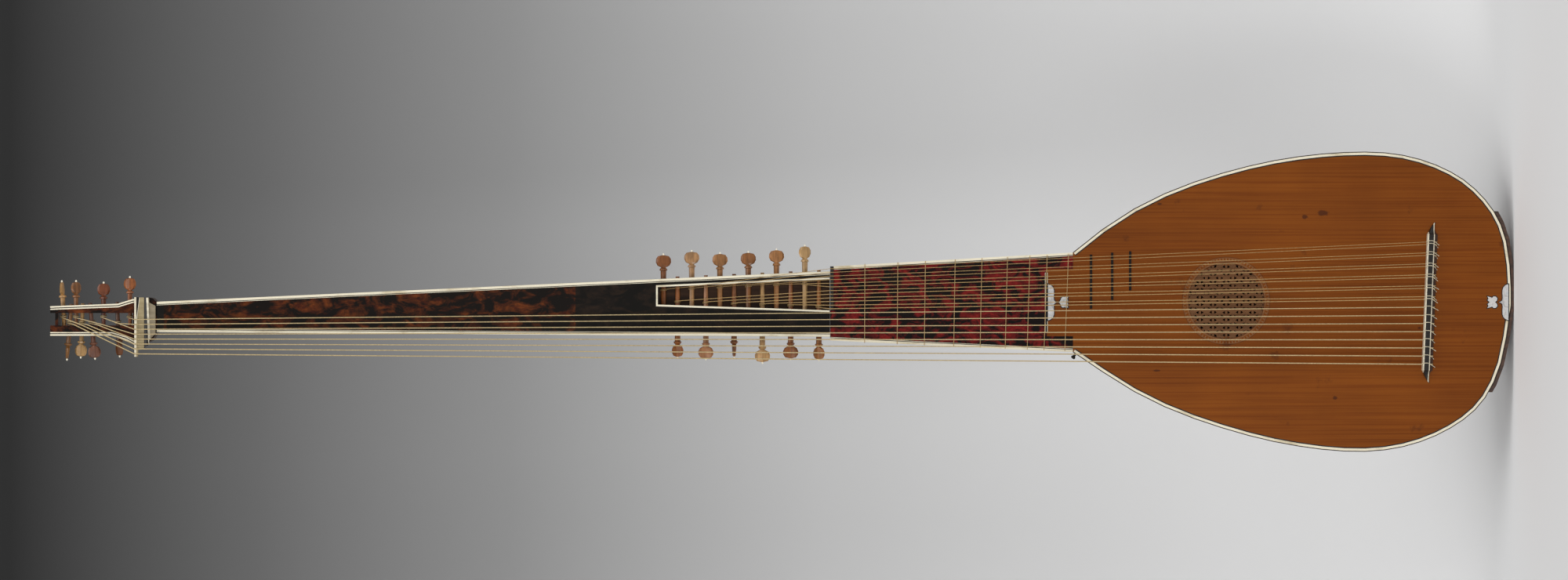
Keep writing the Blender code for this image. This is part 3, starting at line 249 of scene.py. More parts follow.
def spruce(name, dark, light, marks=()):
    """Aged spruce with its grain along the instrument; with marks, the part that has the half frets."""
    s = Shader(name, roughness=0.5, coat=0.0, specular=0.12)
    lines = s.noise(430.0, detail=2.0, vector=s.stretched((1.0, 1.0, 0.010)))
    broad = s.noise(46.0, detail=3.0, vector=s.stretched((1.0, 1.0, 0.05)))
    cloud = s.noise(9.0, detail=4.0)
    grain = s.ramp(lines, ((0.34, dark), (0.56, light)))
    tone = s.ramp(broad, ((0.3, (0.88, 0.85, 0.80)), (0.7, (1.06, 1.05, 1.03))))
    shade = s.ramp(cloud, ((0.32, (0.86, 0.82, 0.76)), (0.68, (1.06, 1.05, 1.04))))
    colour = s.mix(1.0, s.mix(1.0, grain, tone, "MULTIPLY"), shade, "MULTIPLY")
    stain = s.ramp(s.noise(21.0, detail=5.0, roughness=0.62), ((0.64, (0, 0, 0)), (0.72, (1, 1, 1))))
    colour = s.mix(s.math("MULTIPLY", stain, 0.6), colour, (0.060, 0.014, 0.003))
    for x, z, width, height in marks:
        colour = s.mix(s.spot((x, FACE_Y, z), (width, 1.0, height)), colour, (0.050, 0.012, 0.003))
    if marks:
        raised = s.math("LESS_THAN", s.axis("Y"), FACE_Y - HALF_FRET_EDGE)
        colour = s.mix(raised, colour, (0.010, 0.008, 0.006))
    s.colour(colour)
    s.rough(s.math("ADD", s.math("MULTIPLY", cloud, 0.25), 0.38))
    s.bump(lines, 0.12)
    return s.material


def dark_ribs():
    s = Shader("dark_ribs", roughness=0.32, coat=0.4)
    grain = s.noise(240.0, detail=4.0, vector=s.stretched((1.0, 1.0, 0.03)), distortion=0.4)
    s.colour(s.ramp(grain, ((0.3, (0.018, 0.007, 0.004)), (0.7, (0.085, 0.034, 0.016)))))
    s.bump(grain, 0.15)
    return s.material


def ebony():
    s = Shader("ebony", roughness=0.34, coat=0.05, specular=0.3)
    grain = s.noise(300.0, detail=3.0, vector=s.stretched((1.0, 1.0, 0.04)))
    s.colour(s.ramp(grain, ((0.3, (0.006, 0.005, 0.004)), (0.75, (0.026, 0.020, 0.016)))))
    s.bump(grain, 0.12)
    return s.material


def tortoise(name, dark, warm, bright):
    """Tortoiseshell over foil: dark clouds over a glowing ground."""
    s = Shader(name, roughness=0.24, coat=0.05, specular=0.18)
    long = s.stretched((1.0, 1.0, 0.55))
    clouds = s.noise(70.0, detail=6.0, roughness=0.62, vector=long, distortion=1.1)
    specks = s.noise(420.0, detail=3.0, vector=long)
    ground = s.ramp(specks, ((0.35, warm), (0.75, bright)))
    mask = s.ramp(clouds, ((0.45, (0, 0, 0)), (0.60, (1, 1, 1))))
    s.colour(s.mix(mask, dark, ground))
    s.rough(s.math("ADD", s.math("MULTIPLY", specks, 0.15), 0.14))
    return s.material


def ivory(base=(0.78, 0.72, 0.56), dirt=(0.46, 0.36, 0.20)):
    s = Shader("ivory", roughness=0.38, coat=0.05, specular=0.3)
    grain = s.noise(60.0, detail=5.0, roughness=0.6, vector=s.stretched((1.0, 1.0, 0.35)))
    fine = s.noise(900.0, detail=2.0)
    colour = s.ramp(grain, ((0.28, dirt), (0.46, base), (0.8, tuple(min(1.0, c * 1.12) for c in base))))
    s.colour(s.mix(0.12, colour, s.ramp(fine, ((0.4, dirt), (0.6, base)))))
    s.bump(fine, 0.08)
    return s.material


def pearl():
    s = Shader("mother_of_pearl", roughness=0.22, coat=0.5)
    waves = s.noise(120.0, detail=4.0, vector=s.stretched((1.0, 1.0, 1.6)), distortion=1.6)
    tones = ((0.3, (0.36, 0.36, 0.36)), (0.5, (0.62, 0.60, 0.58)), (0.7, (0.46, 0.50, 0.52)))
    s.colour(s.ramp(waves, tones))
    return s.material


def walnut():
    s = Shader("dark_walnut", roughness=0.36, coat=0.3)
    grain = s.noise(170.0, detail=5.0, vector=s.stretched((1.0, 1.0, 0.04)), distortion=0.5)
    s.colour(s.ramp(grain, ((0.28, (0.014, 0.007, 0.004)), (0.72, (0.075, 0.034, 0.016)))))
    s.bump(grain, 0.15)
    return s.material


def gut(name, colour, twist=0.0):
    s = Shader(name, roughness=0.4, specular=0.3)
    fine = s.noise(1500.0, detail=2.0, vector=s.stretched((1.0, 1.0, 0.4)))
    light = tuple(min(1.0, c * 1.15) for c in colour)
    dark = tuple(c * 0.7 for c in colour)
    s.colour(s.ramp(fine, ((0.35, dark), (0.65, light))))
    s.bump(fine, 0.2 + twist)
    return s.material


def peg_wood(name, colour, axis, pip_from):
    """Turned fruitwood with growth lines across it, and bone beyond the given distance along the axis."""
    s = Shader(name, roughness=0.36, coat=0.1, specular=0.35)
    grain = s.noise(420.0, detail=4.0, vector=s.stretched((0.12, 1.0, 1.0)), distortion=0.4)
    cloud = s.noise(90.0, detail=3.0)
    red, green, blue = colour
    warm = (red, green * PEG_GREEN, blue * PEG_BLUE)
    dark = tuple(c * 0.45 for c in warm)
    light = tuple(min(1.0, c * 1.2) for c in warm)
    lines = s.ramp(grain, ((0.3, dark), (0.7, light)))
    wood = s.mix(0.35, lines, s.ramp(cloud, ((0.35, dark), (0.65, light))))
    along = s.nodes.new("ShaderNodeVectorMath")
    along.operation = "DOT_PRODUCT"
    s.links.new(s.place, along.inputs[0])
    along.inputs[1].default_value = axis
    tip = s.math("GREATER_THAN", along.outputs["Value"], pip_from)
    s.colour(s.mix(tip, wood, (0.80, 0.74, 0.60)))
    s.bump(grain, 0.15)
    return s.material


def banded(name, bands):
    """Strips of wood or ivory from the bottom up: (height at x 0, slope of that edge, colour)."""
    s = Shader(name, roughness=0.34, coat=0.1, specular=0.3)
    grain = s.noise(240.0, detail=4.0, vector=s.stretched((1.0, 1.0, 0.3)))
    height = s.axis("Z")
    sideways = s.axis("X")
    colour = bands[0][2]
    for start, slope, following in bands[1:]:
        level = s.math("SUBTRACT", height, s.math("MULTIPLY", sideways, slope))
        colour = s.mix(s.math("GREATER_THAN", level, start), colour, following)
    shade = s.ramp(grain, ((0.3, (0.72, 0.70, 0.66)), (0.7, (1.08, 1.08, 1.08))))
    s.colour(s.mix(1.0, colour, shade, "MULTIPLY"))
    s.bump(grain, 0.1)
    return s.material


def veneered(name, zones, side_colours):
    """A bar whose front is covered with plates: (lower end, dark, warm, bright) from the bottom up."""
    s = Shader(name, roughness=0.28, coat=0.04, specular=0.16)
    long = s.stretched((1.0, 1.0, 0.55))
    clouds = s.noise(64.0, detail=7.0, roughness=0.66, vector=long, distortion=0.8)
    specks = s.noise(200.0, detail=4.0, vector=long)
    mask = s.ramp(clouds, ((0.46, (0, 0, 0)), (0.64, (1, 1, 1))))
    height = s.axis("Z")
    front = None
    for start, dark, warm, bright in zones:
        plate = s.mix(mask, dark, s.ramp(specks, ((0.35, warm), (0.75, bright))))
        front = plate if front is None else s.mix(s.math("GREATER_THAN", height, start), front, plate)
    grain = s.noise(170.0, detail=5.0, vector=s.stretched((1.0, 1.0, 0.04)), distortion=0.5)
    wood = s.ramp(grain, ((0.28, side_colours[0]), (0.72, side_colours[1])))
    behind = s.math("GREATER_THAN", s.axis("Y"), FACE_Y + VENEER)
    s.colour(s.mix(behind, front, wood))
    s.bump(grain, 0.08)
    return s.material


SPRUCE = spruce("aged_spruce", (0.158, 0.038, 0.0016), (0.206, 0.056, 0.0035), WORN_MARKS)
RIBS = dark_ribs()
EBONY = ebony()
IVORY = ivory()
WALNUT = walnut()
PEARL = pearl()
RED_TORTOISE = tortoise("red_tortoise", (0.005, 0.002, 0.0015), (0.120, 0.005, 0.005), (0.24, 0.012, 0.010))
ROSE_WOOD = spruce("rose_wood", (0.055, 0.020, 0.007), (0.100, 0.038, 0.014))
ROSE_LIGHT = spruce("rose_light", (0.16, 0.075, 0.032), (0.27, 0.14, 0.065))
GUT = gut("gut", (0.44, 0.29, 0.12))
BASS_GUT = gut("bass_gut", (0.52, 0.40, 0.21), 0.3)
PALE_GUT = gut("pale_gut", (0.72, 0.64, 0.46), 0.3)


def dress(node, material):
    obj = frame["nodes"][node]
    obj.data.materials.clear()
    obj.data.materials.append(material)


# Pieces


def add_piece(name, mesh, material, body=BODY, smooth=False):
    obj = bpy.data.objects.new(name, mesh)
    bpy.context.scene.collection.objects.link(obj)
    mesh.materials.append(material)
    if smooth:
        mesh.shade_smooth()
    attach(obj, body)
    return obj


def offset_path(path, distance, closed=False):
    """The path moved sideways in the x z plane, with mitred corners."""
    moved = []
    count = len(path)
    for k, point in enumerate(path):
        before = path[k - 1] if closed or k > 0 else None
        after = path[(k + 1) % count] if closed or k < count - 1 else None
        normals = []
        for a, b in ((before, point), (point, after)):
            if a is None or b is None:
                continue
            dx, dz = b[0] - a[0], b[1] - a[1]
            length = math.hypot(dx, dz)
            normals.append((-dz / length, dx / length))
        nx = sum(n[0] for n in normals) / len(normals)
        nz = sum(n[1] for n in normals) / len(normals)
        size = max(nx * nx + nz * nz, 0.25)
        moved.append((point[0] + nx * distance / size, point[1] + nz * distance / size))
    return moved


def ribbon(name, path, near, far, material, proud=PROUD, closed=False, body=BODY):
    """A flat inlaid strip between two distances to the left of a path on the face."""
    inner = offset_path(path, near, closed)
    outer = offset_path(path, far, closed)
    bm = bmesh.new()
    rows = []
    for (x0, z0), (x1, z1) in zip(inner, outer):
        back, front = FACE_Y + SUNK, FACE_Y - proud
        corners = ((x0, back, z0), (x0, front, z0), (x1, front, z1), (x1, back, z1))
        rows.append([bm.verts.new(corner) for corner in corners])
    pairs = list(zip(rows, rows[1:]))
    if closed:
        pairs.append((rows[-1], rows[0]))
    for a, b in pairs:
        for k in range(4):
            bm.faces.new((a[k], a[(k + 1) % 4], b[(k + 1) % 4], b[k]))
    if not closed:
        bm.faces.new(rows[0])
        bm.faces.new(rows[-1])
    bmesh.ops.recalc_face_normals(bm, faces=bm.faces)
    mesh = bpy.data.meshes.new(name)
    bm.to_mesh(mesh)
    bm.free()
    return add_piece(name, mesh, material, body)


def sheet_of(name, outline, material, proud=PROUD, body=BODY):
    """A flat inlaid plate with the given outline on the face."""
    bm = bmesh.new()
    front = [bm.verts.new((x, FACE_Y - proud, z)) for x, z in outline]
    back = [bm.verts.new((x, FACE_Y + SUNK, z)) for x, z in outline]
    bm.faces.new(front)
    bm.faces.new(back[::-1])
    for k in range(len(outline)):
        n = (k + 1) % len(outline)
        bm.faces.new((front[k], back[k], back[n], front[n]))
    bmesh.ops.recalc_face_normals(bm, faces=bm.faces)
    bmesh.ops.triangulate(bm, faces=[f for f in bm.faces if len(f.verts) > 4])
    mesh = bpy.data.meshes.new(name)
    bm.to_mesh(mesh)
    bm.free()
    return add_piece(name, mesh, material, body)


def front_loops(node):
    """Closed edges of a node's front face as lists of (x, z) points, the longest first."""
    mesh = frame["nodes"][node].data
    follows = {}
    places = {}

    def key(corner):
        place = (round(corner.x, 5), round(corner.z, 5))
        places.setdefault(place, (corner.x, corner.z))
        return place

    edges = set()
    for polygon in mesh.polygons:
        corners = [mesh.vertices[v].co for v in polygon.vertices]
        if all(abs(c.y - FACE_Y) < LEVEL for c in corners):
            keys = [key(c) for c in corners]
            for a, b in zip(keys, keys[1:] + keys[:1]):
                if a != b:
                    edges.add((a, b))
    for a, b in edges:
        if (b, a) not in edges:
            follows.setdefault(a, []).append(b)
    loops = []
    while follows:
        first = min(follows)
        loop = [first]
        place = first
        while place in follows:
            following = follows[place].pop()
            if not follows[place]:
                del follows[place]
            place = following
            if place == first:
                break
            loop.append(place)
        loops.append([places[p] for p in loop])
    return sorted(loops, key=lambda loop: -loop_length(loop))


def loop_length(loop):
    return sum(math.dist(a, b) for a, b in zip(loop, loop[1:] + loop[:1]))


def turned(loop, anticlockwise=True):
    """The loop in the wanted sense, seen with x to the right and z up."""
    area = sum(a[0] * b[1] - b[0] * a[1] for a, b in zip(loop, loop[1:] + loop[:1]))
    return loop if (area > 0) == anticlockwise else loop[::-1]


dress("soundboard", SPRUCE)
for node_name in ("bowl", "end_clasp"):
    dress(node_name, RIBS)
for node_name in ("nut", "strap_button"):
    dress(node_name, EBONY)
dress("neck", WALNUT)
dress("fingerboard", RED_TORTOISE)
AMBER = ((0.005, 0.003, 0.002), (0.050, 0.009, 0.003), (0.17, 0.042, 0.007))
DUSKY = ((0.004, 0.003, 0.002), (0.010, 0.006, 0.004), (0.024, 0.013, 0.007))
BLACK = ((0.006, 0.005, 0.004), (0.012, 0.010, 0.008), (0.020, 0.016, 0.012))
WALNUT_TONES = ((0.014, 0.007, 0.004), (0.075, 0.034, 0.016))
dress(
    "extension",
    veneered(
        "extension_veneer",
        (
            (0.0, *DUSKY),
            (JOINT_LINE, *BLACK),
            (JOINT_LINE + JOINT_WIDTH, *DUSKY),
            (PLATE_START, *AMBER),
            (PLATE_END, *BLACK),
        ),
        WALNUT_TONES,
    ),
)
dress("upper_pegbox", veneered("pegbox_veneer", ((0.0, *AMBER),), WALNUT_TONES))
DARK_LINE = (0.012, 0.010, 0.008)
BONE = (0.76, 0.70, 0.55)
# The next two tones are ivory with painted shade, for the upper nut's sloping faces turned away from the
# light
KHAKI_SHADED_BONE = (0.36, 0.29, 0.16)
SHADED_BONE = (0.30, 0.25, 0.17)
# Bands of the upper nut: its own bone and black lines, and ivory with painted shade on the lower step and
# on the slope below the top ridge
dress(
    "upper_nut",
    banded(
        "upper_nut_bands_painted_shade",
        (
            (0.0, 0.0, SHADED_BONE),
            (1.6888, 0.048, BONE),
            (1.6912, 0.048, DARK_LINE),
            (1.6942, 0.0, KHAKI_SHADED_BONE),
            (1.7000, -0.12, BONE),
            (1.7006, -0.12, DARK_LINE),
            (1.7036, 0.0, BONE),
        ),
    ),
)
dress(
    "bridge",
    banded(
        "bridge_bands",
        (
            (0.0, 0.0, (0.045, 0.018, 0.008)),
            (0.1020, BRIDGE_SLOPE, BONE),
            (0.1034, BRIDGE_SLOPE, DARK_LINE),
            (0.1092, BRIDGE_SLOPE, BONE),
        ),
    ),
)
for node_name in frame["nodes"]:
    if node_name.startswith("tied_fret"):
        dress(node_name, GUT)
    elif node_name.startswith("string_"):
        dress(node_name, BASS_GUT if node_name[7:].isdigit() else GUT)

# Wood of each peg, linear colour
PEG_COLOURS = {
    "lower_peg_t1": (0.20, 0.075, 0.030),
    "lower_peg_t2": (0.40, 0.24, 0.16),
    "lower_peg_t3": (0.30, 0.15, 0.075),
    "lower_peg_t4": (0.23, 0.10, 0.045),
    "lower_peg_t5": (0.34, 0.17, 0.09),
    "lower_peg_t6": (0.48, 0.33, 0.22),
    "lower_peg_b1": (0.30, 0.11, 0.04),
    "lower_peg_b2": (0.36, 0.18, 0.12),
    "lower_peg_b3": (0.22, 0.09, 0.045),
    "lower_peg_b4": (0.46, 0.30, 0.19),
    "lower_peg_b5": (0.24, 0.09, 0.035),
    "lower_peg_b6": (0.30, 0.13, 0.055),
    "upper_peg_t1": (0.44, 0.27, 0.15),
    "upper_peg_t2": (0.22, 0.10, 0.05),
    "upper_peg_t3": (0.15, 0.045, 0.022),
    "upper_peg_t4": (0.26, 0.09, 0.035),
    "upper_peg_b1": (0.22, 0.11, 0.055),
    "upper_peg_b2": (0.38, 0.25, 0.15),
    "upper_peg_b3": (0.15, 0.065, 0.055),
    "upper_peg_b4": (0.13, 0.05, 0.025),
}
PIP = 0.0024  # bone at the end of each peg's head

for joint in frame["joints"]:
    node_name = joint["child"]
    if node_name not in PEG_COLOURS:
        continue
    direction = Vector(joint["axis"]).normalized()
    reach = max(direction.dot(v.co) for v in frame["nodes"][node_name].data.vertices)
    wood = peg_wood("wood_" + node_name, PEG_COLOURS[node_name], direction, reach - PIP)
    dress(node_name, wood)

# Soundboard edge


def board_chain():
    """The soundboard's outer edge from one side of the neck round the tail to the other."""
    loop = turned(front_loops("soundboard")[0])
    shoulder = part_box("fingerboard")[0].z - SHOULDER_GAP
    outside = [p[1] < shoulder for p in loop]
    start = next(k for k in range(len(loop)) if outside[k] and not outside[k - 1])
    loop = loop[start:] + loop[:start]
    kept = [p for p in loop if p[1] < shoulder]
    ends = []
    for near, beyond in ((kept[0], loop[-1]), (kept[-1], loop[len(kept)])):
        share = (shoulder - near[1]) / max(beyond[1] - near[1], 1e-6)
        ends.append((near[0] + (beyond[0] - near[0]) * share, shoulder))
    return [ends[0]] + kept + [ends[1]]


edge = board_chain()
ribbon("board_edge_dark", edge, EDGE_START, BOARD_DARK, EBONY)
ribbon("board_edge_ivory", edge, BOARD_DARK, BOARD_IVORY, IVORY)
ribbon("board_edge_black", edge, BOARD_IVORY, BOARD_BLACK, EBONY)

# Fingerboard and extension: ivory edges with a black and a light line inside them


def side_chain(node, side):
    """The long side of a node's front face, from its lower end up; side is 1 for treble, -1 for bass."""
    loop = turned(front_loops(node)[0])
    by_height = {}
    for x, z in loop:
        level = round(z, 4)
        if level not in by_height or side * x > side * by_height[level][0]:
            by_height[level] = (x, z)
    chain = [by_height[level] for level in sorted(by_height)]
    rise = chain[-1][1] - chain[-2][1]
    if rise < NOTCH < side * (chain[-2][0] - chain[-1][0]):
        chain.pop()
    bottom, top = chain[0], chain[-1]
    straight = []
    for x, z in chain:
        line = bottom[0] + (top[0] - bottom[0]) * (z - bottom[1]) / (top[1] - bottom[1])
        if side * x > side * line - SIDE_SLACK:
            straight.append((x, z))
    return straight


def edge_lines(node, side, ivory_width):
    chain = side_chain(node, side)
    name = f"{node}_{'treble' if side > 0 else 'bass'}"
    black_end = ivory_width + EDGE_BLACK
    lines = (
        (EDGE_START, ivory_width, IVORY, "ivory"),
        (ivory_width, black_end, EBONY, "ebony"),
        (black_end, black_end + FINE_LINE, IVORY, "ivory"),
    )
    for k, (near, far, material, slot) in enumerate(lines):
        ribbon(f"{name}_line_{k + 1}", chain, side * near, side * far, material)


for part_node in ("fingerboard", "extension"):
    for side in (1, -1):
        edge_lines(part_node, side, EDGE_IVORY)

# Two light lines with black between them where the fingerboard meets the tongue

TONGUE_LINES = (
    (0.0000, 0.0006, IVORY, "ivory"),
    (0.0006, 0.0028, EBONY, "ebony"),
    (0.0028, 0.0034, IVORY, "ivory"),
)
for k, (near, far, material, slot) in enumerate(TONGUE_LINES):
    ribbon(f"tongue_line_{k + 1}", TONGUE_LINE, near, far, material)

channel = [CHANNEL_FOOT[0], CHANNEL_HEAD[0], CHANNEL_HEAD[1], CHANNEL_FOOT[1]]
ribbon("pegbox_border_ivory", channel, EDGE_START, CHANNEL_BORDER, IVORY)
ribbon("pegbox_border_black", channel, CHANNEL_BORDER, CHANNEL_BORDER + EDGE_BLACK, EBONY)

# Upper pegbox: ivory, black and ivory along its edge

HEAD_LINES = (
    (EDGE_START, 0.0020, IVORY, "ivory"),
    (0.0020, 0.0032, EBONY, "ebony"),
    (0.0032, 0.0046, IVORY, "ivory"),
)


def head_chain(side):
    """A long side of the upper pegbox's front, from its lower end up."""
    loop = turned(front_loops("upper_pegbox")[0])
    chain = {}
    for x, z in loop:
        level = round(z, 4)
        beside = z > HEAD_START and side * (x - HEAD_MIDDLE) > HEAD_CORE
        if beside and (level not in chain or side * x > side * chain[level][0]):
            chain[level] = (x, z)
    return [chain[level] for level in sorted(chain)]


for side in (1, -1):
    outline = head_chain(side)
    for k, (near, far, material, slot) in enumerate(HEAD_LINES):
        name = f"head_{'treble' if side > 0 else 'bass'}_{k + 1}"
        ribbon(name, outline, side * near, side * far, material)

# Light fillets between the ribs of the bowl


def bowl_seams():
    """The joints between the ribs as chains of places from the tail to the neck."""
    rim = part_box("bowl")[0].y
    stations = {}
    for vertex in frame["nodes"]["bowl"].data.vertices:
        stations.setdefault(round(vertex.co.z, 4), []).append(vertex.co.copy())
    seams = [[] for _ in range(RIB_COUNT + 1)]
    for level in sorted(stations):
        ring = stations[level]
        treble = max(p.x for p in ring)
        bass = -min(p.x for p in ring)
        depth = (max(p.y for p in ring) - rim) / math.sin(math.pi * (RIB_COUNT // 2) / RIB_COUNT)
        found = []
        for k in range(RIB_COUNT + 1):
            angle = math.pi * k / RIB_COUNT
            across = treble if k <= RIB_COUNT / 2 else bass
            wanted = Vector((across * math.cos(angle), rim + depth * math.sin(angle), ring[0].z))
            nearest = min(ring, key=lambda p: (p - wanted).length)
            if (nearest - wanted).length < SEAM_REACH:
                found.append(nearest)
        if len(found) == RIB_COUNT + 1:
            for seam, place in zip(seams, found):
                seam.append(place)
    return seams


def bowl_fillet(name, seam, before, after):
    """A light strip over the joint of two ribs; before and after are the next joints on each side."""
    bm = bmesh.new()
    rows = []
    for place, left, right in zip(seam, before, after):
        first = (left - place).normalized()
        second = (right - place).normalized()
        out = -(first + second).normalized()
        corners = (
            place + first * FILLET_HALF + out * FILLET_PROUD,
            place + out * FILLET_PROUD * 2,
            place + second * FILLET_HALF + out * FILLET_PROUD,
            place - out * SUNK,
        )
        rows.append([bm.verts.new(corner) for corner in corners])
    for a, b in zip(rows, rows[1:]):
        for k in range(4):
            bm.faces.new((a[k], a[(k + 1) % 4], b[(k + 1) % 4], b[k]))
    bm.faces.new(rows[0])
    bm.faces.new(rows[-1])
    bmesh.ops.recalc_face_normals(bm, faces=bm.faces)
    mesh = bpy.data.meshes.new(name)
    bm.to_mesh(mesh)
    bm.free()
    add_piece(name, mesh, IVORY)


rib_seams = bowl_seams()
for k in range(1, RIB_COUNT):
    bowl_fillet(f"rib_fillet_{k}", rib_seams[k], rib_seams[k - 1], rib_seams[k + 1])

# Rose


def rose_band(name, angle, distance, width, height):
    """A flat band across the rose with fine light lines on it."""
    along = (math.cos(angle), math.sin(angle))
    across = (-along[1], along[0])
    half = math.sqrt(ROSE_RADIUS**2 - (abs(distance) + width / 2) ** 2)
    lines = [(-width / 2, width / 2, ROSE_WOOD, "soundboard", height)]
    pitch = width / ROSE_STRIPES
    for k in range(ROSE_STRIPES):
        low = -width / 2 + pitch * (k + 0.3)
        lines.append((low, low + pitch * 0.4, ROSE_LIGHT, "soundboard", height + ROSE_STEP / 2))
    ends = []
    for reach in (-half, half):
        ends.append(
            (
                ROSE_CENTRE[0] + along[0] * reach + across[0] * distance,
                ROSE_CENTRE[1] + along[1] * reach + across[1] * distance,
            )
        )
    for k, (near, far, material, slot, proud) in enumerate(lines):
        ribbon(f"{name}_{k}", ends, near, far, material, proud)


def circle(radius, count=96):
    turn = 2 * math.pi / count
    return [
        (ROSE_CENTRE[0] + radius * math.cos(k * turn), ROSE_CENTRE[1] + radius * math.sin(k * turn))
        for k in range(count)
    ]


for family in range(3):
    for row in range(-5, 6):
        width = ROSE_BAND if row % 2 else ROSE_CORE_BAND
        rose_band(
            f"rose_band_{family}_{row + 6}",
            math.radians(60 * family),
            row * ROSE_SPACING / 2,
            width,
            PROUD + family * ROSE_STEP,
        )
ROSE_RINGS = (
    (0.0472, 0.0010, ROSE_WOOD),
    (0.0482, 0.0006, ROSE_LIGHT),
    (0.0492, 0.0006, ROSE_LIGHT),
    (0.0534, 0.0005, ROSE_LIGHT),
    (0.0544, 0.0004, ROSE_WOOD),
)
for k, (radius, width, material) in enumerate(ROSE_RINGS):
    ribbon(f"rose_ring_{k + 1}", circle(radius), 0.0, width, material, closed=True)


def rose_dots():
    """A ring of small dashes round the rose, in one mesh."""
    bm = bmesh.new()
    for k in range(ROSE_DOTS):
        angle = 2 * math.pi * k / ROSE_DOTS
        out = Vector((math.cos(angle), 0.0, math.sin(angle)))
        side = Vector((-out.z, 0.0, out.x))
        centre = Vector((ROSE_CENTRE[0], FACE_Y, ROSE_CENTRE[1])) + out * ROSE_DOT_RADIUS
        corners = []
        for depth in (SUNK, -PROUD):
            for a, b in ((-1, -1), (1, -1), (1, 1), (-1, 1)):
                place = centre + out * (a * ROSE_DOT_LENGTH / 2) + side * (b * ROSE_DOT_WIDTH / 2)
                corners.append(bm.verts.new((place.x, FACE_Y + depth, place.z)))
        for face in ((3, 2, 1, 0), (4, 5, 6, 7), (0, 1, 5, 4), (1, 2, 6, 5), (2, 3, 7, 6), (3, 0, 4, 7)):
            bm.faces.new([corners[n] for n in face])
    bmesh.ops.recalc_face_normals(bm, faces=bm.faces)
    mesh = bpy.data.meshes.new("rose_dots")
    bm.to_mesh(mesh)
    bm.free()
    add_piece("rose_dots", mesh, ROSE_LIGHT)


rose_dots()

# Mother-of-pearl ornaments with a black outline


def grown(outline, width):
    """The outline moved outwards."""
    return offset_path(turned(outline), -width, closed=True)


def ornament(name, half, base, towards):
    """A pearl plate with a black edge round it; half is its treble half from the base on."""
    right = [(ORNAMENT_X + x, base + towards * z) for x, z in half]
    left = [(ORNAMENT_X - x, base + towards * z) for x, z in half[::-1] if x > 0]
    outline = turned(right + left)
    sheet_of(name + "_edge", grown(outline, ORNAMENT_EDGE), EBONY, PROUD)
    sheet_of(name, outline, PEARL, PROUD * 2)


# Treble halves of the ornaments: distance from the middle, distance from the base, in metres
BRACKET = (
    (0.0222, 0.0000),
    (0.0221, 0.0012),
    (0.0208, 0.0040),
    (0.0182, 0.0063),
    (0.0150, 0.0073),
    (0.0105, 0.0074),
    (0.0055, 0.0071),
    (0.0024, 0.0075),
    (0.0008, 0.0092),
    (0.0000, 0.0115),
)
TULIP = (
    (0.0000, 0.0000),
    (0.0009, 0.0016),
    (0.0026, 0.0030),
    (0.0052, 0.0038),
    (0.0066, 0.0056),
    (0.0062, 0.0078),
    (0.0069, 0.0100),
    (0.0064, 0.0122),
    (0.0040, 0.0112),
    (0.0022, 0.0122),
    (0.0000, 0.0108),
)
BUTTERFLY = (
    (0.0000, 0.0028),
    (0.0020, 0.0006),
    (0.0048, 0.0000),
    (0.0070, 0.0020),
    (0.0071, 0.0048),
    (0.0054, 0.0064),
    (0.0062, 0.0086),
    (0.0072, 0.0122),
    (0.0042, 0.0108),
    (0.0026, 0.0120),
    (0.0000, 0.0096),
)
ornament("neck_bracket", BRACKET, NECK_BRACKET_Z, -1)
ornament("neck_tulip", TULIP, NECK_TULIP_Z, -1)
ornament("tail_bracket", BRACKET, TAIL_BRACKET_Z, 1)
ornament("tail_butterfly", BUTTERFLY, TAIL_TULIP_Z, 1)

# Gut looped over the bridge behind each string


def bridge_loops():
    """A loop of gut over the bridge's bar at each string, and its tail behind the bar."""
    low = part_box("bridge")[0]
    for node_name in frame["nodes"]:
        if not node_name.startswith("string_"):
            continue
        vertices = frame["nodes"][node_name].data.vertices
        end = min(vertices, key=lambda v: v.co.z).co
        lean = -BRIDGE_SLOPE * end.x
        top = low.y - LOOP_PROUD
        side = LOOP_SIDE
        curve = bpy.data.curves.new(node_name + "_loop", "CURVE")
        curve.dimensions = "3D"
        curve.bevel_depth = LOOP_RADIUS
        curve.bevel_resolution = 1
        curve.use_fill_caps = True
        spline = curve.splines.new("POLY")
        places = (
            (end.x, end.y, BRIDGE_BACK - lean - 0.0006),
            (end.x + side * 0.4, top + 0.0006, BRIDGE_BACK - lean + 0.0004),
            (end.x + side, top, BRIDGE_BACK - lean + 0.0030),
            (end.x + side, top, BRIDGE_FRONT - lean - 0.0012),
            (end.x + side * 0.5, top + 0.0010, BRIDGE_FRONT - lean + 0.0005),
            (end.x, end.y - 0.0008, BRIDGE_FRONT - lean + 0.0006),
        )
        spline.points.add(len(places) - 1)
        for point, place in zip(spline.points, places):
            point.co = (*place, 1.0)
        tail = curve.splines.new("POLY")
        reach = 0.0035 + 0.0025 * random.random()
        places = (
            (end.x, end.y, BRIDGE_BACK - lean - 0.0006),
            (end.x - side, end.y - 0.0005, BRIDGE_BACK - lean - 0.0020),
            (end.x - side * 2.2, FACE_Y - 0.0011, BRIDGE_BACK - lean - reach),
            (end.x - side * 3.6, FACE_Y - 0.0007, BRIDGE_BACK - lean - reach * 1.5),
        )
        tail.points.add(len(places) - 1)
        for point, place in zip(tail.points, places):
            point.co = (*place, 1.0)
        loop = bpy.data.objects.new(node_name + "_loop", curve)
        bpy.context.scene.collection.objects.link(loop)
        curve.materials.append(PALE_GUT)
        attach(loop, BODY)


bridge_loops()

# Backdrop, light and camera


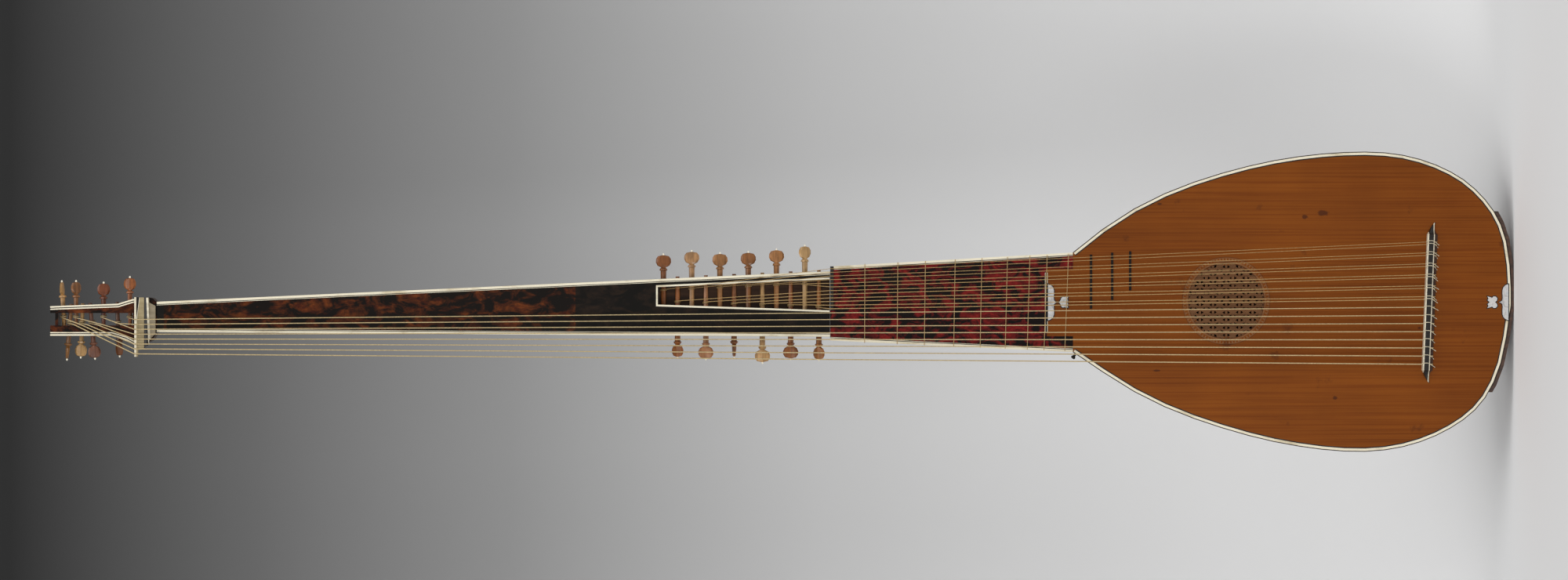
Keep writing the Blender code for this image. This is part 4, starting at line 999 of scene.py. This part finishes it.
def stage_material():
    """A sheet with painted shade, pale at the floor and darker with height as the light falls off, and open
    from behind.
    """
    s = Shader("backdrop_painted_shade", roughness=0.95, specular=0.0)
    low, high = BACKDROP_SHADE_TONES[0][0], BACKDROP_SHADE_TONES[-1][0]
    height = s.axis("Z")
    share = s.math("DIVIDE", s.math("SUBTRACT", height, low), high - low)
    stops = [((z - low) / (high - low), (tone, tone, tone)) for z, tone in BACKDROP_SHADE_TONES]
    soft = s.ramp(s.noise(1.5, detail=2.0), ((0.3, (0.985, 0.985, 0.985)), (0.7, (1.0, 1.0, 1.0))))
    s.colour(s.mix(1.0, s.ramp(share, stops), soft, "MULTIPLY"))
    clear = s.nodes.new("ShaderNodeBsdfTransparent")
    both = s.nodes.new("ShaderNodeMixShader")
    s.links.new(s.nodes.new("ShaderNodeNewGeometry").outputs["Backfacing"], both.inputs["Fac"])
    s.links.new(s.bsdf.outputs["BSDF"], both.inputs[1])
    s.links.new(clear.outputs["BSDF"], both.inputs[2])
    s.links.new(both.outputs["Shader"], s.nodes["Material Output"].inputs["Surface"])
    return s.material


def make_stage():
    """A floor that rises into a wall behind the object in one smooth curve."""
    profile = [(-STAGE_FRONT, 0.0), (BACKDROP_Y - BACKDROP_CURVE, 0.0)]
    for k in range(1, STAGE_STEPS):
        angle = math.pi / 2 * k / STAGE_STEPS
        profile.append(
            (
                BACKDROP_Y - BACKDROP_CURVE + BACKDROP_CURVE * math.sin(angle),
                BACKDROP_CURVE - BACKDROP_CURVE * math.cos(angle),
            )
        )
    profile += [(BACKDROP_Y, BACKDROP_CURVE), (BACKDROP_Y, STAGE_REACH)]
    verts = [(side * STAGE_REACH, y, z) for y, z in profile for side in (-1, 1)]
    faces = [(2 * k, 2 * k + 1, 2 * k + 3, 2 * k + 2) for k in range(len(profile) - 1)]
    mesh = bpy.data.meshes.new("stage_sheet")
    mesh.from_pydata(verts, [], faces)
    mesh.shade_smooth()
    sheet = bpy.data.objects.new("stage_sheet", mesh)
    mesh.materials.append(stage_material())
    bpy.context.scene.collection.objects.link(sheet)


def area_light(name, place, target, size, power, colour=(1, 1, 1)):
    data = bpy.data.lights.new(name, "AREA")
    data.energy = power
    data.size = size
    data.color = colour
    light = bpy.data.objects.new(name, data)
    light.location = place
    light.rotation_euler = (Vector(target) - Vector(place)).to_track_quat("-Z", "Y").to_euler()
    bpy.context.scene.collection.objects.link(light)


def make_light():
    world = bpy.data.worlds.new("studio")
    bpy.context.scene.world = world
    world.use_nodes = True
    nodes, links = world.node_tree.nodes, world.node_tree.links
    background = nodes["Background"]
    background.inputs["Color"].default_value = (1.0, 1.0, 1.0, 1.0)
    background.inputs["Strength"].default_value = WORLD_STRENGTH
    area_light("key", KEY_PLACE, (0, 0, 0.6), KEY_SIZE, KEY_POWER)
    area_light("fill", FILL_PLACE, (0, 0, 0.8), FILL_SIZE, FILL_POWER)
    area_light("top", TOP_PLACE, (0, 0.2, 0), TOP_SIZE, TOP_POWER)


PHOTO_SCALE = 0.00097  # metres of the object for each pixel of the photograph
PHOTO_SIZE = (2000, 740)
CAMERA_AIM = (0.0145, 0.9031)  # x and z of the photograph's middle
CAMERA_DISTANCE = 6.0


def make_camera():
    data = bpy.data.cameras.new("camera")
    data.sensor_fit = "HORIZONTAL"
    data.sensor_width = 36.0
    span = PHOTO_SIZE[0] * PHOTO_SCALE
    data.lens = data.sensor_width * CAMERA_DISTANCE / span
    data.clip_end = 60.0
    camera = bpy.data.objects.new("camera", data)
    right = Vector((0.0, 0.0, -1.0))
    up = Vector((1.0, 0.0, 0.0))
    back = right.cross(up)
    camera.matrix_world = Matrix.Translation(
        (CAMERA_AIM[0], FACE_Y - CAMERA_DISTANCE, CAMERA_AIM[1])
    ) @ Matrix((right, up, back)).transposed().to_4x4()
    bpy.context.scene.collection.objects.link(camera)
    bpy.context.scene.camera = camera


make_stage()
make_light()
make_camera()
bpy.context.scene.view_settings.view_transform = "Standard"
